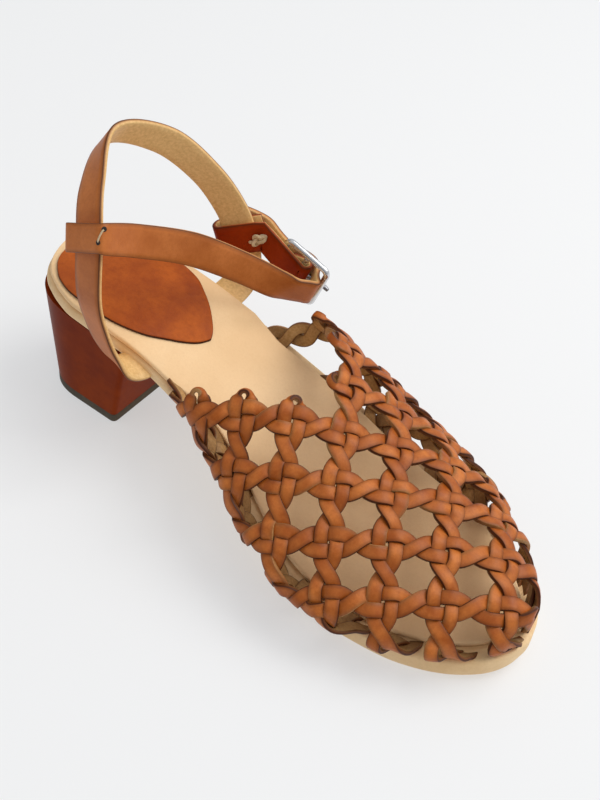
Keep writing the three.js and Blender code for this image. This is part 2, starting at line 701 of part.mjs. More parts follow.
// Front strap: folded round the inner leg, over the instep, through the buckle, its tail doubled back
const frontStart = foldRound(innerFold, 1, faceTo(innerFold, towardsFront), 1);
const buckleRun = throughBuckle.map((p) => (
  asStation({ centre: inBuckle(p.along, p.out, p.across), across: buckleAcross })
));
const frontMiddle = along([asStation(frontStart[frontStart.length - 1]), ...frontStrapPath, ...buckleRun], 3);
const frontFrames = framed([...frontStart.slice(0, -1), ...frontMiddle]);
const legRoom = (k) => slotCut(backFrames.slice(k * strapSteps - 6, k * strapSteps + 7));
const frontBand = toManifold(band(frontFrames, strapWidth, strapThickness));
addPiece('front_strap', toSolid(frontBand.subtract(prongRoom).subtract(legRoom(innerFoldAt))), 0xb0683a, 0.5);

// Buckle strap: folded round the outer leg, then round the centre bar of the buckle
const buckleStart = foldRound(outerFold, 1, faceTo(outerFold, towardsInside), -1);
const barTurn = [];
const turnRadius = barRadius + gap + 0.05 + strapThickness / 2;
for (let k = 0; k <= 8; k += 1) {
  const angle = lerp(-1.7, 2.5, k / 8);
  barTurn.push({
    centre: inBuckle(turnRadius * Math.cos(angle), turnRadius * Math.sin(angle)),
    across: buckleAcross,
  });
}
const barEnd = { centre: inBuckle(-5.8, -0.3), across: buckleAcross };
const lead = along([asStation(buckleStart[buckleStart.length - 1]), asStation(barTurn[0])], 4);
const buckleFrames = framed([...buckleStart.slice(0, -1), ...lead, ...barTurn.slice(1), barEnd]);
const buckleBand = toManifold(band(buckleFrames, strapWidth, strapThickness));
const buckleStrap = buckleBand.subtract(prongRoom).subtract(wireRoom).subtract(legRoom(outerFoldAt));
addPiece('buckle_strap', toSolid(buckleStrap), 0x7a3016, 0.4);

// Knot of the thong that ties the buckle strap
const knotPlace = { run: 8, off: foldOff + strapThickness / 2 + gap + 1.75 };
const knotFace = outerFold.face.clone().multiplyScalar(faceTo(outerFold, towardsInside));
const knotCentre = outerFold.centre.clone().addScaledVector(outerFold.across, knotPlace.run)
  .addScaledVector(knotFace, knotPlace.off);
const knotRings = [[-4, 0.6], [-2.6, 1.2], [-1, 1.6], [0.8, 1.6], [2.4, 1.2], [4, 0.6]];
const knotLine = outerFold.across.clone().addScaledVector(outerFold.tangent, -0.5).normalize();
const knotSide = knotLine.clone().cross(knotFace).normalize();
addPiece('knot', fromRings(knotRings.map(([d, r]) => Array.from({ length: 8 }, (unused, k) => {
  const angle = (Math.PI * k) / 4;
  return knotCentre.clone().addScaledVector(knotLine, d).addScaledVector(knotSide, r * Math.cos(angle))
    .addScaledVector(knotFace, r * Math.sin(angle));
}))), 0xd9bf94, 0.7);

export default group;
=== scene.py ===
import bmesh
import bpy
import numpy as np
from mathutils import Matrix, Vector


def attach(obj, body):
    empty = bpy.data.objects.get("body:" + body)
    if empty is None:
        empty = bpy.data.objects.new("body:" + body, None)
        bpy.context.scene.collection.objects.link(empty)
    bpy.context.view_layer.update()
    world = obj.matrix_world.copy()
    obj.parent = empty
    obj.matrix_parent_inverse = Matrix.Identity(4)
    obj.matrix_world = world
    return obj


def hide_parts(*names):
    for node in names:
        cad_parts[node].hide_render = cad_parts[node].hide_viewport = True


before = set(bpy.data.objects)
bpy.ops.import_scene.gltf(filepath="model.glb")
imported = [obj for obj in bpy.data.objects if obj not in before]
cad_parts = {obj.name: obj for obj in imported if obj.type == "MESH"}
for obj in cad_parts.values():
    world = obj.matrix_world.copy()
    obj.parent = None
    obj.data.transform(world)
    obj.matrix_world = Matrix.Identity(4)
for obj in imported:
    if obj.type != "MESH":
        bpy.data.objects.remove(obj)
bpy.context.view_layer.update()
print("frame loaded:", len(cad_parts), "nodes")

# shapes are worked out in mm from the back of the heel, x to the toe and y to the outer side
heelMiddle = 27.0  # the origin of the frame
mmPerMetre = 1000.0

# footbed: inner edge, outer edge and top height at each station
footbed = {
    "x": [0, 2, 5, 10, 15, 20, 30, 40, 50, 60, 70, 80, 90, 100, 110, 120, 130, 140, 150, 160, 170, 180, 190,
          200, 210, 220, 228, 234, 238, 240],
    "inner": [0, -7.6, -14, -19.3, -22, -24.1, -26.3, -26.3, -25.7, -24.8, -24.1, -23.8, -24.4, -25.9, -28.4,
              -31.8, -36, -39.8, -42.8, -44.6, -45.5, -45.6, -44.8, -43.2, -40.2, -35.9, -30.8, -25.2, -18,
              -9.6],
    "outer": [0, 7.6, 14, 19.3, 22, 24.1, 26.3, 26.6, 27.2, 28.3, 29.8, 31.9, 34, 35.8, 37.4, 38.8, 39.7, 40,
              39.7, 38.9, 38.1, 36.9, 34.7, 31.8, 27, 20.9, 14.3, 7.3, -0.8, -9.6],
    "top": [59.2, 59.2, 59.1, 59, 58.8, 58.5, 57.8, 56.9, 55.6, 53.2, 49.6, 45.1, 40.3, 35.7, 31.2, 26.8,
            22.6, 18.8, 15.5, 13, 12.1, 12, 12, 12.2, 12.7, 13.7, 14.9, 16, 16.8, 17.2],
    "ease": 6, "insetShare": 0.9, "leastHalf": 0.6,
}
sole = {"length": 240, "gap": 0.3, "toeSpring": 5, "flatFrom": 160, "flatTo": 200, "waistFade": 12,
        "depthX": [0, 60, 100, 140, 165, 240], "depth": [5.4, 5.4, 6.4, 8.4, 9.3, 9.3], "ease": 5,
        "rim": 2.4, "tip": 0.3, "rows": 150}
insole = {"thickness": 2.4, "plainInset": 1.2, "inset": 5.4, "rampFrom": 78, "ramp": 14,
          "rim": 1, "heelTip": 0.2, "toeTip": 0.6, "rows": 140}


# directions of length one
def unit(v):
    v = np.asarray(v, float)
    return v / np.linalg.norm(v, axis=-1, keepdims=True)


# straight lines with softened corners: the mean of five readings from x - reach to x + reach
def eased(xs, ys, x, reach):
    return sum(np.interp(x + k * reach / 2, xs, ys) for k in range(-2, 3)) / 5


# monotone cubic through a table: a slope is the weighted harmonic mean of those beside it, and nil at a peak
def curveThrough(x, xs, ys):
    x, xs, ys = (np.asarray(v, float) for v in (x, xs, ys))
    step = np.diff(xs)
    rise = np.diff(ys) / step
    same = rise[:-1] * rise[1:] > 0
    before, after = (np.where(same, v, 1.0) for v in (rise[:-1], rise[1:]))
    weight1 = 2 * step[1:] + step[:-1]
    weight2 = step[1:] + 2 * step[:-1]
    mean = (weight1 + weight2) * (before * after) / (weight1 * after + weight2 * before)
    slope = np.concatenate([rise[:1], np.where(same, mean, 0.0), rise[-1:]])
    k = np.clip(np.searchsorted(xs, x) - 1, 0, len(step) - 1)
    t = np.clip((x - xs[k]) / step[k], 0, 1)
    return (ys[k] * (1 + 2 * t) * (1 - t) ** 2 + step[k] * slope[k] * t * (1 - t) ** 2
            + ys[k + 1] * t * t * (3 - 2 * t) - step[k] * slope[k + 1] * t * t * (1 - t))


# stations between two ends, crowding at both by a cosine
def crowded(fromX, toX, rows):
    return fromX + (toX - fromX) * (1 - np.cos(np.linspace(0, np.pi, rows))) / 2


# top of the insole: the height table, eased and held at both ends
def bedTop(x):
    return eased(footbed["x"], footbed["top"], np.clip(x, 0, sole["length"]), footbed["ease"])


# top of the outsole: the insole and a gap below the footbed
def soleTop(x):
    return bedTop(x) - insole["thickness"] - sole["gap"]


# underside: flat at the ball, a square rise at the toe, a set depth below the top behind the ball
def soleBottom(x):
    x = np.asarray(x, float)
    waist = np.maximum(0, soleTop(x) - eased(sole["depthX"], sole["depth"], x, sole["ease"]))
    fade = np.clip((sole["flatFrom"] - x) / sole["waistFade"], 0, 1)
    toe = np.clip((x - sole["flatTo"]) / (sole["length"] - sole["flatTo"]), 0, 1)
    behind = np.where(x >= sole["flatFrom"], 0, waist * fade)
    return np.where(x > sole["flatTo"], sole["toeSpring"] * toe ** 2, behind)


# middle line and half width of the footbed drawn in: stations close up, and sides lose a share of the inset
def bedEdge(x, inset, read=curveThrough):
    squeeze = (sole["length"] - 2 * inset) / sole["length"]
    station = np.clip((x - inset) / squeeze, 0, sole["length"])
    inner, outer = (read(station, footbed["x"], footbed[key]) for key in ("inner", "outer"))
    half = (outer - inner) / 2 - inset * footbed["insetShare"]
    return (inner + outer) / 2, np.maximum(footbed["leastHalf"], half)


# grid of upright sections: one station for each row of y and z
def sections(x, y, z):
    return np.stack([np.repeat(x[:, None], y.shape[1], 1), y, z], -1)


# quads between neighbouring rows of a grid, each row closed on itself
def ringFaces(rows, count):
    r, k = np.meshgrid(np.arange(rows - 1), np.arange(count), indexing="ij")
    n = (k + 1) % count
    corners = [r * count + k, r * count + n, (r + 1) * count + n, (r + 1) * count + k]
    return np.stack(corners, -1).reshape(-1, 4)


# one piece from grids of closed rows in mm: each grid is capped at both ends, but the first few, as many as
# closed says, join their last row to their first; values hold arrays with a number for each point
def newPiece(name, grids, finish, node=None, values=None, smoothAngle=None, closed=0):
    places, faces, start = [], [], 0
    for number, grid in enumerate(grids):
        rows, count = grid.shape[:2]
        isRing = number < closed
        faces += (ringFaces(rows + isRing, count) % (rows * count) + start).tolist()
        if not isRing:
            firstRow = range(start, start + count)
            lastRow = range(start + (rows - 1) * count, start + rows * count)
            faces += [list(reversed(firstRow)), list(lastRow)]
        places.append(grid.reshape(-1, 3))
        start += rows * count
    inFrame = (np.concatenate(places) - np.array([heelMiddle, 0, 0])) / mmPerMetre
    mesh = bpy.data.meshes.new(name)
    mesh.from_pydata(inFrame.tolist(), [], faces)
    for key, arrays in (values or {}).items():
        attribute = mesh.attributes.new(key, "FLOAT", "POINT")
        attribute.data.foreach_set("value", np.concatenate([v.ravel() for v in arrays]).astype(np.float32))
    turnOutwards(mesh)
    mesh.shade_smooth()
    if smoothAngle:
        mesh.set_sharp_from_angle(angle=np.radians(smoothAngle))
    mesh.materials.append(finish)
    piece = addObject(name, mesh)
    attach(piece, "root")
    if node:
        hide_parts(node)
    print("made", name, len(mesh.polygons), "faces")


# object in the scene for a mesh, a camera or a lamp
def addObject(name, data):
    made = bpy.data.objects.new(name, data)
    bpy.context.scene.collection.objects.link(made)
    return made


# each shell faces outwards
def turnOutwards(mesh):
    work = bmesh.new()
    work.from_mesh(mesh)
    bmesh.ops.recalc_face_normals(work, faces=work.faces)
    work.to_mesh(mesh)
    work.free()


# shader node with its settings, fixed socket values and links into its sockets
def addNode(tree, kind, values=None, links=None, **settings):
    made = tree.nodes.new(kind)
    for key, value in settings.items():
        setattr(made, key, value)
    for key, value in (values or {}).items():
        made.inputs[key].default_value = value
    for key, source in (links or {}).items():
        tree.links.new(source, made.inputs[key])
    return made


# colour from a to b by a factor socket; a and b are sockets or fixed colours
def mixColour(tree, factor, a, b):
    made = addNode(tree, "ShaderNodeMix", links={0: factor}, data_type="RGBA")
    for place, value in ((6, a), (7, b)):
        if isinstance(value, bpy.types.NodeSocket):
            tree.links.new(value, made.inputs[place])
        else:
            made.inputs[place].default_value = (*value, 1)
    return made.outputs[2]


# straight map of a value from one span to another, held at the ends
def spread(tree, source, span, to=(0.0, 1.0)):
    values = {"From Min": span[0], "From Max": span[1], "To Min": to[0], "To Max": to[1]}
    return addNode(tree, "ShaderNodeMapRange", values, {"Value": source}).outputs["Result"]


# cloud of noise that stays on the piece: cycles in a metre, number of octaves and their weight
def noise(tree, scale, detail, rough):
    where = addNode(tree, "ShaderNodeTexCoord").outputs["Object"]
    values = {"Scale": scale, "Detail": detail, "Roughness": rough}
    return addNode(tree, "ShaderNodeTexNoise", values, {"Vector": where}).outputs["Fac"]


# normal tilted by the slope of a height, with a strength and a depth in metres, on top of an earlier normal
def bump(tree, height, strength, depth, under=None):
    links = {"Height": height} if under is None else {"Height": height, "Normal": under}
    return addNode(tree, "ShaderNodeBump", {"Strength": strength, "Distance": depth}, links).outputs["Normal"]


# number that the points of a piece carry
def pointValue(tree, name):
    return addNode(tree, "ShaderNodeAttribute", attribute_name=name).outputs["Fac"]


# finish with fixed shader values, its nodes and its shader
def newFinish(name, values):
    made = bpy.data.materials.new(name)
    made.use_nodes = True
    shader = made.node_tree.nodes["Principled BSDF"]
    for key, value in values.items():
        shader.inputs[key].default_value = value
    return made, made.node_tree, shader


# looks give scales of cloud, speckle and pores, a dark, a light and a speck tone, bumps of pores and waves
hide = {"cloud": (4, 0.6), "speckle": (5, 0.7),  # octaves and their weight
        "cloudSpan": (0.35, 0.65), "speckleSpan": (0.45, 0.75), "fibreSpan": (0.35, 0.65),
        "glossSpan": (0.3, 0.7), "poreDepth": 0.0002, "waveDepth": 0.0006}


# leather: two tones by a cloud and a speckle over them, then tone, flesh side and dark edge by point values,
# the dark edge a stained cut edge and, on the woven strips, painted shade too; pores and small waves by bump
def leather(name, look):
    made, tree, shader = newFinish(name, {"Specular IOR Level": look["specular"]})
    cloudScale, speckleScale, poreScale = look["scales"]
    dark, light, speck = look["tones"]
    broad = noise(tree, cloudScale, *hide["cloud"])
    fine = noise(tree, speckleScale, *hide["speckle"])
    colour = mixColour(tree, spread(tree, broad, hide["cloudSpan"]), dark, light)
    colour = mixColour(tree, spread(tree, fine, hide["speckleSpan"], (0, look["speckle"])), colour, speck)
    if "tone" in look:
        tone = spread(tree, pointValue(tree, "tone"), (0, 1), (0, look["tone"]))
        colour = mixColour(tree, tone, colour, look["toneColour"])
    if "flesh" in look:
        fibre = mixColour(tree, spread(tree, fine, hide["fibreSpan"]), look["flesh"], look["fleshDark"])
        colour = mixColour(tree, pointValue(tree, "flesh"), colour, fibre)
    # darker by the rim value: a stained cut edge, and on the woven strips painted shade
    if "rim" in look:
        rim = spread(tree, pointValue(tree, "rim"), (look["rimFrom"], 1))
        colour = mixColour(tree, rim, colour, look["rim"])
    tree.links.new(colour, shader.inputs["Base Color"])
    tree.links.new(spread(tree, broad, hide["glossSpan"], look["rough"]), shader.inputs["Roughness"])
    where = addNode(tree, "ShaderNodeTexCoord").outputs["Object"]
    pores = addNode(tree, "ShaderNodeTexVoronoi", {"Scale": poreScale}, {"Vector": where})
    grain = bump(tree, pores.outputs["Distance"], look["bumps"][0], hide["poreDepth"])
    wave = bump(tree, fine, look["bumps"][1], hide["waveDepth"], grain)
    tree.links.new(wave, shader.inputs["Normal"])
    return made


# metal: two tones by a cloud, gloss and a faint bump by a scratch noise
def metal(name, look):
    made, tree, shader = newFinish(name, {"Metallic": 1})
    cloud = noise(tree, look["cloud"], look["cloudDetail"], look["noiseWeight"])
    scratch = noise(tree, look["scratch"], look["scratchDetail"], look["noiseWeight"])
    tree.links.new(mixColour(tree, cloud, look["dark"], look["light"]), shader.inputs["Base Color"])
    tree.links.new(spread(tree, scratch, look["glossSpan"], look["rough"]), shader.inputs["Roughness"])
    tree.links.new(bump(tree, scratch, look["bump"], look["bumpDepth"]), shader.inputs["Normal"])
    return made


# camera where the photograph was taken from, in mm from the origin; focal length and aim are in its pixels
camera = {"place": (256.42, -264.51, 376.01), "ahead": (-0.45762, 0.50747, -0.73011),
          "right": (0.74264, 0.66969, 0), "focal": 726.3, "aimAcross": 95, "aimDown": 2, "zoom": 1.63,
          "photoHeight": 800, "sensor": 36, "clip": (0.01, 50)}
aheadAxis, rightAxis = np.array(camera["ahead"]), np.array(camera["right"])
upAxis = np.cross(rightAxis, aheadAxis)
aim = unit(aheadAxis * camera["focal"] + rightAxis * camera["aimAcross"] - upAxis * camera["aimDown"])
besideAim = unit(np.cross(aim, upAxis))
aboveAim = np.cross(besideAim, aim)
lens = bpy.data.cameras.new("camera")
lens.lens = camera["focal"] * camera["zoom"] * camera["sensor"] / camera["photoHeight"]
lens.sensor_width = camera["sensor"]
lens.clip_start, lens.clip_end = camera["clip"]
cameraPiece = addObject("camera", lens)
cameraTurn = Matrix([[besideAim[k], aboveAim[k], -aim[k]] for k in range(3)]).to_4x4()
cameraPiece.matrix_world = Matrix.Translation(Vector(camera["place"]) / mmPerMetre) @ cameraTurn
bpy.context.scene.camera = cameraPiece
print("camera placed")

layer = {"arc": 5, "across": 12, "tipWidth": 0.02, "tipDrop": 0.3, "cornerDrop": 0.45, "cornerIn": 0.5}


# a layer of the sole: an oblong with quarter-round corners across the foot, carried along its stations and
# rounded over at its two tips
def layerRings(ends, rows, inset, low, high, rim):
    x = crowded(*ends, rows)
    middle, half = bedEdge(x, inset(x))
    half[[0, -1]] *= layer["tipWidth"]
    bottom, top = low(x), high(x)
    tip = np.clip(1 - np.minimum(x - ends[0], ends[1] - x) / rim, 0, 1)
    drop = np.minimum(rim, (top - bottom) * layer["tipDrop"]) * (1 - np.sqrt(1 - tip ** 2))
    bottom, top = bottom + drop, top - drop
    corner = np.minimum(np.minimum(rim, (top - bottom) * layer["cornerDrop"]), half * layer["cornerIn"])
    middle, half, bottom, top, corner = (v[:, None] for v in (middle, half, bottom, top, corner))
    # round the section: up the inner side, across the top, down the outer side and back underneath
    angle = np.linspace(0, np.pi / 2, layer["arc"])
    side = half - corner * (1 - np.sin(angle))
    over = corner * (1 - np.cos(angle))
    flat = (half - corner) * np.linspace(-1, 1, layer["across"] + 2)[1:-1]
    level = np.ones_like(flat)
    y = np.concatenate([-side, -side[:, ::-1], flat, side, side[:, ::-1], -flat], 1)
    z = np.concatenate([bottom + over, top - over[:, ::-1], top * level,
                        top - over, bottom + over[:, ::-1], bottom * level], 1)
    return sections(x, middle + y, z)


soleLook = {"scales": (40, 700, 1500), "speckle": 0.3, "rough": (0.55, 0.66), "bumps": (0.1, 0.12),
            "tones": ((0.78, 0.52, 0.26), (0.9, 0.65, 0.37), (0.62, 0.38, 0.17)), "specular": 0.25}
soleEnds = (sole["tip"], sole["length"] - sole["tip"])
soleRings = layerRings(soleEnds, sole["rows"], lambda x: 0 * x, soleBottom, soleTop, sole["rim"])
newPiece("outsole", [soleRings], leather("sole edge", soleLook), "sole", smoothAngle=50)


# inset of the insole: small round the heel, then a straight ramp to the deeper one of the forefoot
def insoleInset(x):
    ramp = np.clip((x - insole["rampFrom"]) / insole["ramp"], 0, 1)
    return insole["plainInset"] + (insole["inset"] - insole["plainInset"]) * ramp


insoleLook = {"scales": (22, 900, 2200), "speckle": 0.3, "rough": (0.58, 0.7), "bumps": (0.14, 0.2),
              "tones": ((0.88, 0.6, 0.325), (0.97, 0.69, 0.4), (0.78, 0.5, 0.25)), "specular": 0.25}
insoleEnds = (insole["plainInset"] + insole["heelTip"], sole["length"] - insole["inset"] + insole["toeTip"])
insoleRings = layerRings(insoleEnds, insole["rows"], insoleInset, lambda x: soleTop(x) + sole["gap"], bedTop,
                         insole["rim"])
newPiece("insole_sheet", [insoleRings], leather("insole leather", insoleLook), "insole",
         smoothAngle=50)

# heel pad: a shield laid on the insole, its edge cut square and stained
pad = {"x": [6, 8, 12, 18, 26, 36, 46, 54, 60, 66, 71, 74.5, 76],
       "inner": [-2, -10, -15.5, -19.8, -22, -22.4, -21.4, -19, -15.8, -10.6, -5.6, -0.6, 3.6],
       "outer": [2, 9, 14, 18.3, 20.6, 21.8, 22.6, 21.6, 18.8, 15.2, 11, 7.2, 4.4],
       "thickness": 1.1, "bevel": 0.45, "bevelShare": 0.2, "bevelDrop": 0.8, "rows": 90, "across": 26}


# sections from edge to edge: a square side, a bevel and a flat top; the rim value is one on the cut edge
def padRings():
    x = crowded(pad["x"][0], pad["x"][-1], pad["rows"])
    inner, outer = (curveThrough(x, pad["x"], pad[key])[:, None] for key in ("inner", "outer"))
    low = (bedTop(x) + sole["gap"])[:, None]
    bevel = np.minimum(pad["bevel"], (outer - inner) * pad["bevelShare"])
    share = np.linspace(0, 1, pad["across"])
    topY = (inner + bevel) * (1 - share) + (outer - bevel) * share
    topZ = np.repeat(low + pad["thickness"], len(share), 1)
    rimZ = low + pad["thickness"] - bevel * pad["bevelDrop"]
    y = np.concatenate([inner, inner, topY, outer, outer], 1)
    z = np.concatenate([low, rimZ, topZ, rimZ, low], 1)
    rim = np.zeros_like(y)
    rim[:, [0, 1, -2, -1]] = 1
    rim[[0, -1]] = 1
    return sections(x, y, z), rim


padLook = {"scales": (55, 420, 1400), "speckle": 0.45, "rough": (0.48, 0.66), "bumps": (0.16, 0.4),
           "tones": ((0.32, 0.056, 0.005), (0.49, 0.108, 0.012), (0.25, 0.04, 0.003)), "specular": 0.2,
           "rim": (0.06, 0.014, 0.004), "rimFrom": 0.5}
padGrid, padRim = padRings()
newPiece("heel_sock", [padGrid], leather("pad leather", padLook), "heel_pad",
         {"rim": [padRim]}, smoothAngle=40)

# heel: pairs are sizes at its foot and at its head
topPiece = {"height": 4.2, "bevel": 0.5, "scale": (0.985, 0.99)}
heel = {"back": (6, 1.4), "front": (48.5, 57), "half": (23.3, 25.2), "widest": (27, 29), "power": 0.8,
        "corner": 2.2, "arc": 72, "cornerSteps": 7, "sideSteps": 10, "levels": 30}


# outline at a share of the height: a squarish half oval behind, straight sides, round corners, a flat breast
def heelOutline(share):
    sizes = (heel[key] for key in ("back", "front", "half", "widest"))
    back, front, half, widest = (foot + (head - foot) * share for foot, head in sizes)
    angle = np.pi * (np.linspace(0, 1, heel["arc"]) - 0.5)
    c = np.abs(np.cos(angle)) ** heel["power"]
    s = np.sign(np.sin(angle)) * np.abs(np.sin(angle)) ** heel["power"]
    turn = np.linspace(0, np.pi / 2, heel["cornerSteps"])
    r, steps = heel["corner"], heel["sideSteps"]
    fill = np.linspace(0, 1, steps + 2)[1:-1]
    sideX = widest + (front - r - widest) * fill
    x = np.concatenate([widest - (widest - back) * c, sideX, front - r + r * np.sin(turn),
                        np.full(steps, front), front - r + r * np.cos(turn), sideX[::-1]])
    y = np.concatenate([half * s, np.full(steps, half), half - r + r * np.cos(turn),
                        (half - r) * (1 - 2 * fill), -(half - r + r * np.sin(turn)), np.full(steps, -half)])
    return np.stack([x, y], -1)


# outlines from foot to head, each point at its share of the way from the top piece to the sole above it
def heelRings():
    shares = np.linspace(0, 1, heel["levels"])
    outlines = np.stack([heelOutline(s) for s in shares])
    low = topPiece["height"] + sole["gap"]
    high = soleBottom(outlines[..., 0]) - sole["gap"]
    z = low + (high - low) * shares[:, None]
    return np.concatenate([outlines, z[..., None]], -1)


# the heel's lowest outline at four heights, scaled a little smaller at the floor and at the head
def topPieceRings():
    outline = heelOutline(0)
    middle = outline.mean(0)
    height, bevel = topPiece["height"], topPiece["bevel"]
    foot, head = topPiece["scale"]
    levels = ((0.0, foot), (bevel, 1.0), (height - bevel, 1.0), (height, head))
    return np.stack([np.insert(middle + (outline - middle) * scale, 2, z, 1) for z, scale in levels])


heelLook = {"scales": (30, 260, 900), "speckle": 0.35, "rough": (0.34, 0.46), "bumps": (0.05, 0.06),
            "tones": ((0.165, 0.018, 0.001), (0.26, 0.038, 0.003), (0.11, 0.011, 0.001)), "specular": 0.03}
newPiece("heel_block", [heelRings()], leather("stained heel", heelLook), "heel",
         smoothAngle=40)
topLook = {"scales": (60, 600, 1200), "speckle": 0.4, "rough": (0.65, 0.8), "bumps": (0.15, 0.2),
           "tones": ((0.055, 0.042, 0.026), (0.1, 0.078, 0.05), (0.03, 0.024, 0.016)), "specular": 0.5}
newPiece("heel_top_piece", [topPieceRings()], leather("top piece rubber", topLook), "top_piece",
         smoothAngle=30)

# vamp: height of the crest over the seam and swell of both sides at their stations; pairs are inner and outer
vamp = {"crestX": [60, 95, 120, 147, 165, 180, 200, 220, 230, 236],
        "crest": [48, 44, 41, 38.5, 36, 31.7, 25.5, 20.5, 16, 11.5],
        "bulgeX": [60, 90, 120, 150, 180, 205, 236],
        "inner": [5, 10, 13, 14, 12.5, 9.5, 4], "outer": [1.5, 4, 7, 9, 8, 5, 1.5],
        "fall": (2.6, 1.6), "power": 2.5, "throat": 148, "back": 60, "end": 236, "ease": 10,
        "seamInset": 2.6, "seamLift": 1.7, "tuck": 0.9, "stations": 200, "steps": 61, "leastStep": 1e-9}


# a column of the vamp's tables at x
def vampRead(stations, column, x):
    return eased(vamp[stations], vamp[column], x, vamp["ease"])


crestStations = np.linspace(vamp["back"], vamp["end"], vamp["stations"])
crestLine = soleTop(crestStations) + vamp["seamLift"] + vampRead("crestX", "crest", crestStations)
crestLength = np.concatenate([[0], np.cumsum(np.hypot(np.diff(crestStations), np.diff(crestLine)))])


# place at distances along the crest and across from it, the latter laid off along a section: a squarish half
# oval with a swell low on each side; past the seam it goes down and in, and past the toe down
def vampSurface(distance, across):
    length = np.interp(vamp["throat"], crestStations, crestLength) + distance
    x = np.interp(length, crestLength, crestStations)
    pastToe = np.maximum(0, length - crestLength[-1])
    middle, half = bedEdge(x, vamp["seamInset"], np.interp)
    isInner = across < 0
    bulge = np.where(isInner, vampRead("bulgeX", "inner", x), vampRead("bulgeX", "outer", x))
    fall = np.where(isInner, *vamp["fall"])
    peak = fall ** fall / (1 + fall) ** (1 + fall)
    angle = np.linspace(0, np.pi / 2, vamp["steps"])
    rise = np.clip(np.cos(angle), 0, 1) ** (2 / vamp["power"])
    rise[-1] = 0
    swell = (bulge / peak)[..., None] * rise * (1 - rise) ** fall[..., None]
    out = half[..., None] * np.sin(angle) ** (2 / vamp["power"]) + swell
    up = vampRead("crestX", "crest", x)[..., None] * rise
    gone = np.cumsum(np.hypot(np.diff(out), np.diff(up)), -1)
    gone = np.concatenate([np.zeros_like(gone[..., :1]), gone], -1)
    # straight lines between the two steps that the distance across falls between
    reach = np.abs(across)
    k = np.clip((gone <= reach[..., None]).sum(-1) - 1, 0, len(angle) - 2)[..., None]
    goneLow, goneHigh, outLow, outHigh, upLow, upHigh = (
        np.take_along_axis(table, k + step, -1)[..., 0] for table in (gone, out, up) for step in (0, 1))
    t = np.clip((reach - goneLow) / np.maximum(goneHigh - goneLow, vamp["leastStep"]), 0, 1)
    pastSeam = np.maximum(0, reach - gone[..., -1])
    y = outLow * (1 - t) + outHigh * t - pastSeam * vamp["tuck"]
    z = soleTop(x) + vamp["seamLift"] + (upLow * (1 - t) + upHigh * t) - pastSeam - pastToe
    return np.stack([x, middle + np.where(isInner, -1, 1) * y, z], -1)


# weave: steps are mm along and across the vamp for one row or column; places in it count columns and rows
weave = {"rowStep": (17.9, 14.6), "columnStep": (10, -16), "start": (-0.5, -4.5), "backLean": 1.3,
         "rows": range(-3, 4), "columns": range(-3, 5), "perPitch": 26, "shortest": 0.5, "probe": 0.09,
         "pairOffset": 0.15, "nodeReach": 0.2, "rise": 1.1, "twistFrom": -2.5, "twist": 0.12,
         "width": 5.2, "thickness": 1.6, "crown": 0.2, "soften": (1, 2, 3, 2, 1),
         "search": (-5, 6), "searchStep": 0.02, "middle": 1, "collarMiddle": 0.3, "seamDepth": 2,
         "loopFrom": (-0.31, -0.27), "loopSteps": 22, "loopLong": 0.95, "loopLine": (-0.05, 0.25),
         "loopTurn": 1.4, "loopNarrow": 0.4, "turnPast": 2.5, "turnOver": 4.5}
# hand-cut unevenness of the strips, and the painted shade on their flesh side near the seam
handCutAndShade = {"seed": 7, "wobble": 0.012, "wobblePace": 2.1, "wobbleStart": 3, "pace": (2.3, 1.9, 1.6),
           "roll": 0.11, "uneven": 0.06, "pale": -0.15, "seamShade": 0.75, "seamReach": 0.5}
# points round a strip: across, up, flesh side, dark edge, pale first edge, pale second edge; the dark edge is
# painted shade towards the edges of each face and at the crossings, over a dark cut edge
stripSection = np.array([
    (-1, -0.55, 0.3, 0.7, 1, 0), (-1, 0.55, 0, 1, 1, 0), (-0.97, 0.88, 0, 0.95, 1, 0),
    (-0.9, 1, 0, 0.5, 0.3, 0), (-0.45, 1, 0, 0.07, 0, 0), (0, 1, 0, 0, 0, 0),
    (0.45, 1, 0, 0.07, 0, 0), (0.9, 1, 0, 0.5, 0, 0.3), (0.97, 0.88, 0, 0.95, 0, 1),
    (1, 0.55, 0, 1, 0, 1), (1, -0.55, 0.3, 0.7, 0, 1), (0.94, -1, 1, 0.75, 0, 0),
    (0.76, -1, 1, 0.08, 0, 0), (0, -1, 1, 0, 0, 0), (-0.76, -1, 1, 0.08, 0, 0),
    (-0.94, -1, 1, 0.75, 0, 0)])


# place of a column and row on the vamp: steps along and across it, the rows behind lean back by a square
def weavePlace(column, row):
    along, across = (weave["start"][k] + weave["rowStep"][k] * column + weave["columnStep"][k] * row
                     for k in (0, 1))
    return vampSurface(along - weave["backLean"] * np.minimum(row, 0) ** 2, across)


# outward direction of the vamp: the cross product of two short steps on it
def weaveOut(column, row):
    small = weave["probe"]
    u = weavePlace(column + small, row) - weavePlace(column - small, row)
    v = weavePlace(column, row + small) - weavePlace(column, row - small)
    return unit(np.cross(v, u))


# column and row of a place along a strip and sideways from it
def onStrip(isRow, along, sideways):
    return (along, sideways) if isRow else (sideways, along)


# side of the pair that a strip keeps: +1 or -1 at a node, a smooth change half way to the next
def sway(t):
    node = np.round(t)
    share = np.clip((0.5 - np.abs(t - node)) / (0.5 - weave["nodeReach"]), 0, 1)
    return np.where(node % 2 == 0, 1, -1) * np.sin(share * np.pi / 2)


# count of crossings passed, three for each node, with straight lines between them
def crossing(t):
    node = np.round(t)
    d = t - node
    o = weave["pairOffset"]
    before = 3 * node - 1 + (d + 0.5) / (0.5 - o)
    within = 3 * node + (d + o) / (2 * o)
    after = 3 * node + 1 + (d - o) / (0.5 - o)
    return np.where(d < -o, before, np.where(d <= o, within, after))


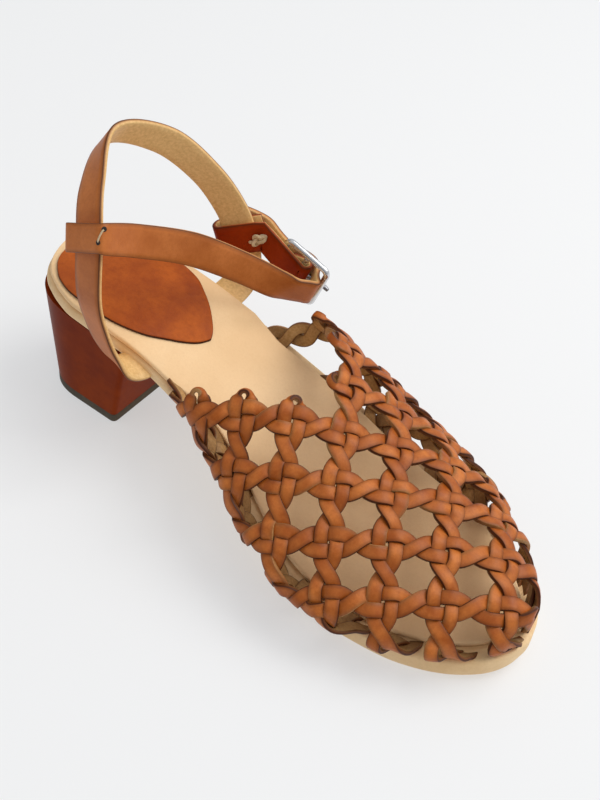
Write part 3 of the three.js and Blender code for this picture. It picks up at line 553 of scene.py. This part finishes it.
# first and last place of a strip: where it is the seam depth below the top of the sole on each side of the
# middle, or the collar where a pair doubles back
def stripEnds(isRow, number):
    first, last = weave["search"]
    t = np.arange(first, last, weave["searchStep"])
    p = weavePlace(*onStrip(isRow, t, np.full_like(t, number)))
    under = soleTop(p[:, 0]) - p[:, 2] >= weave["seamDepth"]
    low = t[(t < weave["middle"]) & under].max(initial=first)
    high = t[(t > weave["collarMiddle" if number < 0 else "middle"]) & under].min(initial=last)
    return (weave["loopFrom"][isRow] if number < 0 else low), high


# one strip of a pair: sideways by its sway, up and down by the cosine of the crossings passed; past the last
# crossing of the collar the pair is a plain twist, a sine sideways and a cosine up and down
def strandOf(isRow, number, half, t, wobble):
    sense = half if isRow else -half
    sideways = number + weave["pairOffset"] * half * sway(t) + wobble
    height = weave["rise"] * sense * np.cos(np.pi * crossing(t))
    if number == 0:
        past = t < weave["twistFrom"]
        turn = 2 * np.pi * (t - weave["twistFrom"])
        over = np.cos(np.pi * crossing(weave["twistFrom"]))
        sideways = np.where(past, weave["twist"] * half * np.sin(turn), sideways)
        height = np.where(past, weave["rise"] * sense * over * np.cos(turn), height)
    return sideways, height


# both strips of a pair joined by a half oval at the collar, with a smooth step of turning up on edge round it
def doubledBack(t, strands):
    (side1, height1), (side2, height2) = strands
    angle = np.pi * np.linspace(0, 1, weave["loopSteps"] + 2)[1:-1]
    radius = (side1[0] - side2[0]) / 2
    loopT = t[0] - np.abs(radius) * weave["loopLong"] * np.sin(angle)
    loopSide = (side1[0] + side2[0]) / 2 + radius * np.cos(angle)
    loopHeight = height1[0] + (height2[0] - height1[0]) * (1 - np.cos(angle)) / 2
    path = np.concatenate([t[::-1], loopT, t])
    sideways = np.concatenate([side1[::-1], loopSide, side2])
    height = np.concatenate([height1[::-1], loopHeight, height2])
    far = np.abs(np.arange(len(path)) - (len(path) - 1) / 2)
    share = np.clip((len(angle) / 2 + weave["turnPast"] - far) / weave["turnOver"], 0, 1)
    return path, sideways, height, weave["loopTurn"] * share * share * (3 - 2 * share)


# one strip: a crowned flat section carried along a softened path, turned on edge where it doubles back
def stripRings(isRow, t, sideways, height, lift, collar, roll, wide):
    spots = onStrip(isRow, t, sideways)
    normal = weaveOut(*spots)
    centre = weavePlace(*spots) + normal * height[:, None]
    kernel = np.array(weave["soften"]) / sum(weave["soften"])
    padded = np.concatenate([centre[:1].repeat(2, 0), centre, centre[-1:].repeat(2, 0)])
    soft = np.stack([np.convolve(padded[:, k], kernel, "valid") for k in range(3)], 1)
    soft[[0, -1]] = centre[[0, -1]]
    tangent = unit(np.gradient(soft, axis=0))
    if collar:
        line = np.array(weave["loopLine"]) + collar[0]
        tip, heart = weavePlace(*onStrip(isRow, line, np.full_like(line, collar[1])))
        normal = normal * np.cos(lift)[:, None] + unit(tip - heart) * np.sin(lift)[:, None]
    normal = unit(normal - (normal * tangent).sum(1, keepdims=True) * tangent)
    across = np.cross(tangent, normal)
    c, s = np.cos(roll)[:, None], np.sin(roll)[:, None]
    normal, across = normal * c + across * s, across * c - normal * s
    u, v = stripSection.T[:2]
    w = u * weave["width"] / 2
    h = v * weave["thickness"] / 2 + np.where(v > 0, weave["crown"] * (1 - u ** 2), 0)
    narrow = wide * (1 - weave["loopNarrow"] * lift / weave["loopTurn"])
    across = across * narrow[:, None]
    return soft[:, None] + across[:, None] * w[:, None] + normal[:, None] * h[:, None]


# pairs of strips along every row and column, with the values that their finish reads
def makeWeave():
    grids, values = [], {"flesh": [], "rim": [], "tone": []}
    draw = np.random.default_rng(handCutAndShade["seed"])
    # the dark edge value paints shade at the strips' edges and crossings, over a dark cut edge
    flesh, rim, *paleEdges = stripSection.T[2:]

    # hand-cut strips: sines of roll and width, one edge pale in places, a tone of its own, and painted shade
    # on the flesh side near the seam
    def keep(isRow, t, sideways, height, lift, collar):
        count = np.arange(len(t))
        run = count / weave["perPitch"]
        phase = draw.random(4) * 2 * np.pi
        rollWave, wideWave, paleWave = np.sin(np.outer(handCutAndShade["pace"], run) + phase[:3, None])
        roll, wide = handCutAndShade["roll"] * rollWave, 1 + handCutAndShade["uneven"] * wideWave
        grids.append(stripRings(isRow, t, sideways, height, lift, collar, roll, wide))
        pale = np.clip(handCutAndShade["pale"] + paleWave, 0, 1)[:, None] * paleEdges[int(phase[3] > np.pi)]
        values["flesh"].append(np.maximum(flesh, pale))
        # the flesh side darkens towards the seam, where no light gets in
        toEnd = np.minimum(count, count[::-1]) / (handCutAndShade["seamReach"] * weave["perPitch"])
        shade = handCutAndShade["seamShade"] * np.clip(1 - toEnd, 0, 1)[:, None] * (flesh == 1)
        values["rim"].append(np.maximum(rim * (1 - pale), shade))
        values["tone"].append(np.full(pale.shape, draw.random()))

    for isRow, numbers in ((True, weave["rows"]), (False, weave["columns"])):
        for number in numbers:
            low, high = stripEnds(isRow, number)
            if high - low < weave["shortest"]:
                continue
            t = np.linspace(low, high, int((high - low) * weave["perPitch"]))
            strands = []
            for half in (1, -1):
                begin = handCutAndShade["wobbleStart"] * draw.random()
                wobble = handCutAndShade["wobble"] * np.sin(handCutAndShade["wobblePace"] * t + begin)
                strands.append(strandOf(isRow, number, half, t, wobble))
            if number < 0:
                keep(isRow, *doubledBack(t, strands), (low, number))
                continue
            for strand in strands:
                keep(isRow, t, *strand, np.zeros_like(t), None)
    return grids, values


# rim colour: painted shade at the strips' edges, at their crossings and on the flesh side near the seam, over
# a dark cut edge
stripLook = {"scales": (130, 900, 1900), "speckle": 0.3, "rough": (0.4, 0.52), "bumps": (0.14, 0.14),
             "tones": ((0.39, 0.09, 0.009), (0.63, 0.19, 0.034), (0.27, 0.054, 0.004)), "specular": 0.28,
             "tone": 0.45, "toneColour": (0.28, 0.054, 0.004), "rim": (0.055, 0.011, 0.001), "rimFrom": 0,
             "flesh": (0.56, 0.33, 0.13), "fleshDark": (0.4, 0.21, 0.07)}
weaveGrids, weaveValues = makeWeave()
newPiece("woven_vamp", weaveGrids, leather("woven leather", stripLook), "upper", weaveValues)

# straps: a station gives the middle of the band and the direction from its lower to its upper edge
strap = {"width": 13.5, "thickness": 2, "steps": 14, "ankle": (48, 3, 86),
         "foldOff": 3, "foldTurn": 7.45, "foldFlat": 9.5, "foldRound": 0.8, "foldSteps": 9, "foldArc": 13,
         "fleshAt": (-0.5, -0.35, 0.35, 0.75, 0.97), "flesh": (0, 0.35, 0.85, 0.95, 1),
         "edgeFrom": 0.9, "rimAt": (0, 0.35, 0.75, 0.97, 1), "rim": (0, 0.6, 1, 0.5, 0.2)}
backPath = np.array([
    (63.6, -17.5, 46.6, 0.93, 0.03, -0.36), (63.2, -24.9, 46.3, 0.93, 0, -0.36),
    (60.4, -30.4, 48.6, 0.93, -0.1, -0.2), (56.2, -33, 55, 0.95, -0.2, 0.05),
    (52.4, -34.6, 65.5, 0.97, -0.18, 0.1), (49.4, -35.4, 80.3, 0.97, -0.14, 0.18),
    (44.7, -29.4, 99.6, 0.9, 0, 0.43), (34.8, -17, 112.8, 0.8, 0.05, 0.59),
    (27.2, 0.9, 122.2, 0.53, -0.03, 0.85), (36, 20.3, 114.5, 0.5, 0.3, 0.81),
    (46, 34.2, 97, 0.72, 0.36, 0.58), (52.6, 42.8, 79, 0.78, 0.45, 0.44),
    (57.6, 44.6, 66.5, 0.82, 0.5, 0.25), (60.6, 44.6, 55.5, 0.87, 0.4, 0.05),
    (62.6, 39.4, 48.2, 0.93, 0.18, -0.2), (63.2, 28.4, 46.4, 0.93, 0.02, -0.36),
    (63.6, 21, 46.6, 0.93, 0, -0.36)])
# points round half a band, across and up; the other half is the same turned round
halfBand = [(-1, -0.35), (-1, 0.35), (-0.985, 0.75), (-0.95, 0.97), (-0.6, 1), (0, 1), (0.6, 1),
            (0.95, 0.97), (0.985, 0.75)]
bandSection = np.concatenate([halfBand, -np.array(halfBand)])


# smooth path through stations: the usual cubic through four neighbours
def throughStations(stations, steps):
    s = np.asarray(stations, float)
    p = np.concatenate([s[:1], s, s[-1:]])
    k, t = np.meshgrid(np.arange(len(s) - 1), np.linspace(0, 1, steps, endpoint=False), indexing="ij")
    k, t = np.append(k.ravel(), len(s) - 2), np.append(t.ravel(), 1.0)[:, None]
    a, b, c, d = p[k], p[k + 1], p[k + 2], p[k + 3]
    return b + 0.5 * t * (c - a + t * (2 * a - 5 * b + 4 * c - d + t * (3 * (b - c) + d - a)))


# middle, run, width and face directions along a path: width squared to the run, face across both
def bandFrames(path):
    centre = path[:, :3]
    run = unit(np.gradient(centre, axis=0))
    across = unit(path[:, 3:] - (path[:, 3:] * run).sum(1, keepdims=True) * run)
    return centre, run, across, unit(np.cross(run, across))


# flat band carried along its frames, grain the sign of its outer face: a pale flesh side and cut edge, and a
# dark line where the edge meets the grain side
def newBand(name, node, frames, grain, finish, wide=1.0, pale=1.0):
    centre, run, across, face = frames
    u, v = bandSection.T
    w = u * strap["width"] / 2 * np.broadcast_to(wide, len(centre))[:, None]
    h = v * strap["thickness"] / 2
    rings = centre[:, None] + across[:, None] * w[..., None] + face[:, None] * h[:, None]
    depth = v * grain
    fleshShare = np.array(strap["flesh"])
    fleshShare[1:3] *= pale
    flesh = np.interp(-depth, strap["fleshAt"], fleshShare)
    rim = np.where(np.abs(u) > strap["edgeFrom"], np.interp(depth, strap["rimAt"], strap["rim"]), 0.0)
    values = {key: [np.tile(row, (len(centre), 1))] for key, row in (("flesh", flesh), ("rim", rim))}
    newPiece(name, [rings], finish, node, values, smoothAngle=60)


strapLook = {"scales": (45, 800, 1700), "speckle": 0.3, "rough": (0.38, 0.5), "bumps": (0.12, 0.1),
             "tones": ((0.42, 0.112, 0.018), (0.6, 0.19, 0.044), (0.31, 0.074, 0.011)), "specular": 0.25,
             "rim": (0.05, 0.016, 0.005), "rimFrom": 0.2,
             "flesh": (0.86, 0.57, 0.25), "fleshDark": (0.68, 0.42, 0.16)}
strapFinish = leather("strap leather", strapLook)
backFrames = bandFrames(throughStations(backPath, strap["steps"]))
backGrain = np.sign(((backFrames[0] - np.array(strap["ankle"])) * backFrames[3]).sum(1).mean())
newBand("back_strap_band", "back_strap", backFrames, backGrain, strapFinish)


# stations of a band folded round the back strap, flat, half round and flat, and the back strap's frame there
def foldStations(index, facing, widthSign):
    centre, run, across, face = (v[index] for v in backFrames)
    face = face * np.sign(face @ np.array(facing))
    angle = np.linspace(0, np.pi, strap["foldArc"] + 2)[1:-1]
    flat = np.linspace(strap["foldFlat"], -strap["foldTurn"], strap["foldSteps"])
    bow = -strap["foldTurn"] - strap["foldOff"] * strap["foldRound"] * np.sin(angle)
    level = np.ones_like(flat)
    off = strap["foldOff"] * np.concatenate([-level, -np.cos(angle), level])
    place = centre + across * np.concatenate([flat, bow, flat[::-1]])[:, None] + face * off[:, None]
    width = np.repeat((run * widthSign)[None], len(place), 0)
    return np.concatenate([place, width], 1), (centre, run, across, face)


# buckle: directions along the strap and of its lean, and sizes of its frame and bar
buckle = {"centre": (84.1, 50.8, 58.3), "along": (0.951, 0.031, -0.309), "lean": (0.309, 0.004, 0.951),
          "length": 21, "width": 21.5, "corner": 2.4, "cornerSteps": 9,
          "wire": 1.35, "wireSides": 20, "bar": 1.2, "barSides": 16}
buckleAlong = unit(buckle["along"])
buckleAcross = unit(np.array(buckle["lean"]) - np.dot(buckle["lean"], buckleAlong) * buckleAlong)
buckleOut = unit(np.cross(buckleAcross, buckleAlong))


# place at distances along, out of and across the buckle from its middle
def inBuckle(along, out, across=0.0):
    along, out, across = (np.asarray(v, float)[..., None] for v in (along, out, across))
    return np.array(buckle["centre"]) + along * buckleAlong + out * buckleOut + across * buckleAcross


# stations at places where the band's width lies across the buckle
def withWidth(places):
    return np.concatenate([places, np.repeat(buckleAcross[None], len(places), 0)], 1)


# front strap: folded round the inner leg, then through the buckle; through gives places along, out of and
# across the buckle
front = {"leg": 6 * strap["steps"] + 1, "facing": (0.46, -0.51, 0.73), "grainSide": (0.46, -0.5, 0.73),
         "grainAfter": 20, "bendOut": 1.2, "bendRun": 3.2, "bendShare": 0.4, "steps": 12,
         "foldWide": 0.79, "widenOver": 36, "pale": 0.5,
         "path": [(54, -13.6, 96, -0.25, 0.4, 0.88), (63.6, 5.4, 86.2, 0, 0.42, 0.91),
                  (74.4, 23.6, 72, 0.18, 0.42, 0.89), (83.5, 34.7, 62.1, 0.25, 0.3, 0.9)],
         "through": [(3, -11, 1), (7.4, -6.6, 0.4), (9.4, -4.5, 0), (9.8, -3.2, 0), (8.7, -2.1, 0),
                     (6.9, -0.3, 0), (5.6, 2, 0), (3.7, 4.2, 0), (0.5, 5.4, 0), (-4, 4.8, 0), (-10.5, 3.1, 0),
                     (-16.5, 3.8, 0), (-23, 5.4, 0), (-28.5, 4.2, 0), (-34.6, 1.4, 0)]}
frontFold, innerFold = foldStations(front["leg"], front["facing"], 1)
frontPath = np.array(front["path"])
buckleRun = withWidth(inBuckle(*np.array(front["through"], float).T))
# a soft bend where the band leaves the leg
bend = frontFold[-1:].copy()
bend[0, :3] += innerFold[2] * front["bendOut"] + unit(frontPath[0, :3] - bend[0, :3]) * front["bendRun"]
bend[0, 3:] = unit((1 - front["bendShare"]) * bend[0, 3:] + front["bendShare"] * frontPath[0, 3:])
frontMiddle = throughStations(np.concatenate([frontFold[-1:], bend, frontPath, buckleRun]), front["steps"])
frontFrames = bandFrames(np.concatenate([frontFold[:-1], frontMiddle]))
foldEnd = len(frontFold) - 1
widenTo = foldEnd + front["widenOver"]
frontWide = np.interp(np.arange(len(frontFrames[0])), [foldEnd, widenTo], [front["foldWide"], 1.0])
frontFace = frontFrames[3][len(frontFold) + front["grainAfter"]]
frontGrain = np.sign(frontFace @ np.array(front["grainSide"]))
newBand("ankle_strap_band", "front_strap", frontFrames, frontGrain, strapFinish, frontWide, front["pale"])

# buckle strap: folded round the outer leg, then round the bar of the buckle
hold = {"leg": 12 * strap["steps"], "facing": (0.55, -0.54, 0.59), "grainSide": (0.46, -0.5, 0.73),
        "grainAfter": 3, "leadSteps": 10, "barGap": 0.35, "barTurn": (-1.7, 2.5), "barSteps": 26,
        "end": (-5.8, -0.3), "pale": 0.15}
buckleFold, outerFold = foldStations(hold["leg"], hold["facing"], -1)
turnRadius = buckle["bar"] + hold["barGap"] + strap["thickness"] / 2
barAngle = np.linspace(*hold["barTurn"], hold["barSteps"])
barTurn = withWidth(inBuckle(turnRadius * np.cos(barAngle), turnRadius * np.sin(barAngle)))
barEnd = withWidth(inBuckle(*np.array(hold["end"])[:, None]))
lead = throughStations(np.concatenate([buckleFold[-1:], barTurn[:1]]), hold["leadSteps"])
holdFrames = bandFrames(np.concatenate([buckleFold[:-1], lead[:-1], barTurn, barEnd]))
holdFace = holdFrames[3][len(buckleFold) + hold["grainAfter"]]
holdGrain = np.sign(holdFace @ np.array(hold["grainSide"]))
holdLook = dict(strapLook, specular=0.08,
                tones=((0.25, 0.021, 0.001), (0.37, 0.04, 0.002), (0.19, 0.014, 0.001)))
newBand("buckle_strap_band", "buckle_strap", holdFrames, holdGrain, leather("buckle strap leather", holdLook),
        pale=hold["pale"])


# round rod: a circle of a radius carried along points, its first direction kept close to sideways
def rodRings(points, radius, sides, sideways, closed=False):
    ahead = np.roll(points, -1, 0) - np.roll(points, 1, 0) if closed else np.gradient(points, axis=0)
    run = unit(ahead)
    first = unit(sideways - (run @ sideways)[:, None] * run)
    second = np.cross(run, first)
    angle = np.linspace(0, 2 * np.pi, sides, endpoint=False)[:, None]
    circle = first[:, None] * np.cos(angle) + second[:, None] * np.sin(angle)
    return points[:, None] + np.broadcast_to(radius, len(points))[:, None, None] * circle


# wire of the buckle's frame: four quarter-round corners joined by straight sides
def framePoints():
    quarterTurn = np.linspace(0, np.pi / 2, buckle["cornerSteps"])
    r = buckle["corner"]
    corners = []
    for quarter, (u, v) in enumerate(((1, 1), (-1, 1), (-1, -1), (1, -1))):
        angle = quarterTurn + quarter * np.pi / 2
        along = u * (buckle["length"] / 2 - r) + r * np.cos(angle)
        corners.append(inBuckle(along, 0 * angle, v * (buckle["width"] / 2 - r) + r * np.sin(angle)))
    return np.concatenate(corners)


steelLook = {"cloud": 200, "cloudDetail": 3, "scratch": 1500, "scratchDetail": 6, "noiseWeight": 0.5,
             "dark": (0.55, 0.56, 0.58), "light": (0.8, 0.81, 0.83), "glossSpan": (0.3, 0.7),
             "rough": (0.16, 0.3), "bump": 0.08, "bumpDepth": 0.0001}
wireRings = rodRings(framePoints(), buckle["wire"], buckle["wireSides"], buckleOut, True)
barAcross = np.linspace(-0.5, 0.5, buckle["cornerSteps"]) * buckle["width"]
barPoints = inBuckle(0 * barAcross, 0 * barAcross, barAcross)
barRings = rodRings(barPoints, buckle["bar"], buckle["barSides"], buckleOut)
newPiece("buckle_wire", [wireRings, barRings], metal("buckle steel", steelLook), "buckle_frame",
         closed=1)
# prong: places along and out of the buckle, and its radius at shares of its length
prong = {"path": [(1.6, 0.2), (5.5, 1.8), (10.5, 2.65), (13.7, 2.45)], "steps": 10, "sides": 16,
         "taperAt": (0, 0.8, 0.97, 1), "radius": (1, 1, 0.8, 0.35)}
prongLook = dict(steelLook, dark=(0.16, 0.16, 0.17), light=(0.34, 0.34, 0.36), rough=(0.28, 0.42))
prongRun = throughStations(prong["path"], prong["steps"])
prongRadius = np.interp(np.linspace(0, 1, len(prongRun)), prong["taperAt"], prong["radius"])
prongRings = rodRings(inBuckle(*prongRun.T), prongRadius, prong["sides"], buckleAcross)
newPiece("buckle_pin", [prongRings], metal("prong steel", prongLook), "buckle_prong")

# knot of the thong: a three-lobed closed loop pressed flat, with two short ends
knot = {"run": 8, "off": strap["foldOff"] + strap["thickness"] / 2 + 1.5, "lean": 0.5, "size": 1.45,
        "stretch": (0.75, 0.48, 0.465), "thong": 0.75, "points": 90, "sides": 10,
        "endFrom": 1, "endLong": 3.2, "endBend": 1.1, "endLift": 0.2, "endDrop": 0.9, "endPoints": 16,
        "endTaperAt": (0, 0.85, 1), "endRadius": (0.7, 0.75, 0.5)}
thongLook = {"scales": (300, 1500, 2500), "speckle": 0.4, "rough": (0.6, 0.75), "bumps": (0.1, 0.2),
             "tones": ((0.5, 0.36, 0.2), (0.72, 0.56, 0.36), (0.36, 0.25, 0.13)), "specular": 0.5}
legMiddle, legRun, legAcross, legFace = outerFold
knotCentre = legMiddle + legAcross * knot["run"] + legFace * knot["off"]
knotLine = unit(legAcross - knot["lean"] * legRun)
knotSide = unit(np.cross(knotLine, legFace))


# trefoil: a circle with a second one of twice the turns round it, rising and falling three times
def knotPoints():
    a = np.linspace(0, 2 * np.pi, knot["points"], endpoint=False)
    lobes = np.stack([np.sin(a) + 2 * np.sin(2 * a), np.cos(a) - 2 * np.cos(2 * a), -np.sin(3 * a)], 1)
    lobes = lobes * knot["size"] * np.array(knot["stretch"])
    return knotCentre + lobes @ np.stack([knotLine, knotSide, legFace])


# one end of the thong: straight out along the knot, bending aside by a square and falling evenly
def thongEnd(sign):
    share = np.linspace(0, 1, knot["endPoints"])[:, None]
    ahead = knotLine * sign * (knot["endFrom"] + knot["endLong"] * share)
    aside = knotSide * sign * knot["endBend"] * share ** 2
    points = knotCentre + ahead + aside + legFace * (knot["endLift"] - knot["endDrop"] * share)
    radius = np.interp(share[:, 0], knot["endTaperAt"], knot["endRadius"])
    return rodRings(points, radius, knot["sides"], legFace)


thong = leather("thong leather", thongLook)
knotRings = rodRings(knotPoints(), knot["thong"], knot["sides"], legFace, True)
newPiece("thong_knot", [knotRings], thong, "knot", closed=1)
newPiece("thong_ends", [thongEnd(sign) for sign in (1, -1)], thong)

# stitch on the front strap: two punched holes, each a near-black disc of painted shade, placed along and up
# the band from the end of its fold, and the thread between them
stitch = {"spots": ((0.9, 3.5), (-0.4, -1.3)), "hole": 0.95, "holeSides": 20,
          "holeHeight": (-0.3, 0.08, 0.14, 0.1), "holeScale": (0.9, 1, 0.8, 0.1),
          "thread": 0.36, "threadPoints": 24, "threadSides": 10, "threadSpan": (0.06, 0.94),
          "threadLift": 0.1, "threadBow": 0.5}
# near-black painted shade standing in for the dark inside of each hole
holeShadeLook = dict(thongLook, tones=((0.012, 0.007, 0.004), (0.022, 0.012, 0.008), (0.008, 0.005, 0.003)))
frontLength = np.concatenate([[0], np.cumsum(np.linalg.norm(np.diff(frontFrames[0], axis=0), axis=1))])
holeRings, stitchEnds = [], []
for shift, upward in stitch["spots"]:
    spot = np.searchsorted(frontLength, frontLength[foldEnd] + shift)
    foldCentre, foldRun, foldUp, foldFace = (v[spot] for v in frontFrames)
    foldFace = foldFace * frontGrain
    stitchEnds.append(foldCentre + foldUp * upward + foldFace * strap["thickness"] / 2)
    holePath = stitchEnds[-1] + foldFace * np.array(stitch["holeHeight"])[:, None]
    holeRadius = np.array(stitch["holeScale"]) * stitch["hole"]
    holeRings.append(rodRings(holePath, holeRadius, stitch["holeSides"], foldUp))
newPiece("stitch_holes", holeRings, leather("painted hole shade", holeShadeLook))
# the thread goes straight from hole to hole and stands off by the root of a sine
threadShare = np.linspace(0, 1, stitch["threadPoints"])[:, None]
threadOff = stitch["threadLift"] + stitch["threadBow"] * np.sin(np.pi * threadShare) ** 0.5
threadWay = np.linspace(*stitch["threadSpan"], stitch["threadPoints"])[:, None]
threadPath = stitchEnds[0] * (1 - threadWay) + stitchEnds[1] * threadWay + foldFace * threadOff
newPiece("stitch_thread", [rodRings(threadPath, stitch["thread"], stitch["threadSides"], foldRun)], thong)
print("pieces made")

# floor: a lit sweep, so that shadows stay weak
ground = {"half": 12.0, "cloud": (2.0, 2.0, 0.5), "dark": (0.40, 0.403, 0.407), "light": (0.42, 0.423, 0.427),
          "shader": {"Roughness": 0.9, "Specular IOR Level": 0.1, "Emission Strength": 0.48,
                     "Emission Color": (0.985, 0.995, 1, 1)}}
floorMesh = bpy.data.meshes.new("floor")
floorCorners = [(u * ground["half"], v * ground["half"], 0) for u, v in ((-1, -1), (1, -1), (1, 1), (-1, 1))]
floorMesh.from_pydata(floorCorners, [], [(0, 1, 2, 3)])
floor = addObject("floor", floorMesh)
floorFinish, floorTree, floorShader = newFinish("pale floor", ground["shader"])
floorColour = mixColour(floorTree, noise(floorTree, *ground["cloud"]), ground["dark"], ground["light"])
floorTree.links.new(floorColour, floorShader.inputs["Base Color"])
floorMesh.materials.append(floorFinish)

# lights, in metres, all turned to the middle of the shoe
lights = {"key": {"place": (0.46, 0.42, 0.88), "size": 0.7, "power": 5.8, "colour": (1, 0.98, 0.95)},
          "fill": {"place": (-0.45, -0.55, 0.55), "size": 0.6, "power": 0.5, "colour": (0.97, 0.98, 1)}}
shoeMiddle = Vector((0.08, 0, 0.03))
for name, light in lights.items():
    data = bpy.data.lights.new(name, "AREA")
    data.energy, data.size, data.color = light["power"], light["size"], light["colour"]
    lamp = addObject(name, data)
    lamp.location = light["place"]
    lamp.rotation_euler = (shoeMiddle - Vector(light["place"])).to_track_quat("-Z", "Y").to_euler()

# a bright ceiling that falls off to the sides, more of it on the outer side of the shoe
ceiling = {"towards": (0.28, 0.36, 0.89), "span": (-0.1, 1), "strength": (0.18, 0.88),
           "colour": (0.97, 0.98, 1, 1)}
world = bpy.data.worlds.new("studio")
world.use_nodes = True
sky = world.node_tree
skyWhere = addNode(sky, "ShaderNodeTexCoord").outputs["Generated"]
skyLevel = addNode(sky, "ShaderNodeVectorMath", {1: ceiling["towards"]}, {0: skyWhere},
                   operation="DOT_PRODUCT")
skyStrength = spread(sky, skyLevel.outputs["Value"], ceiling["span"], ceiling["strength"])
sky.links.new(skyStrength, sky.nodes["Background"].inputs["Strength"])
sky.nodes["Background"].inputs["Color"].default_value = ceiling["colour"]
bpy.context.scene.world = world
bpy.context.scene.view_settings.view_transform = "Standard"  # plain colours, as in the photograph
print("floor and light set")
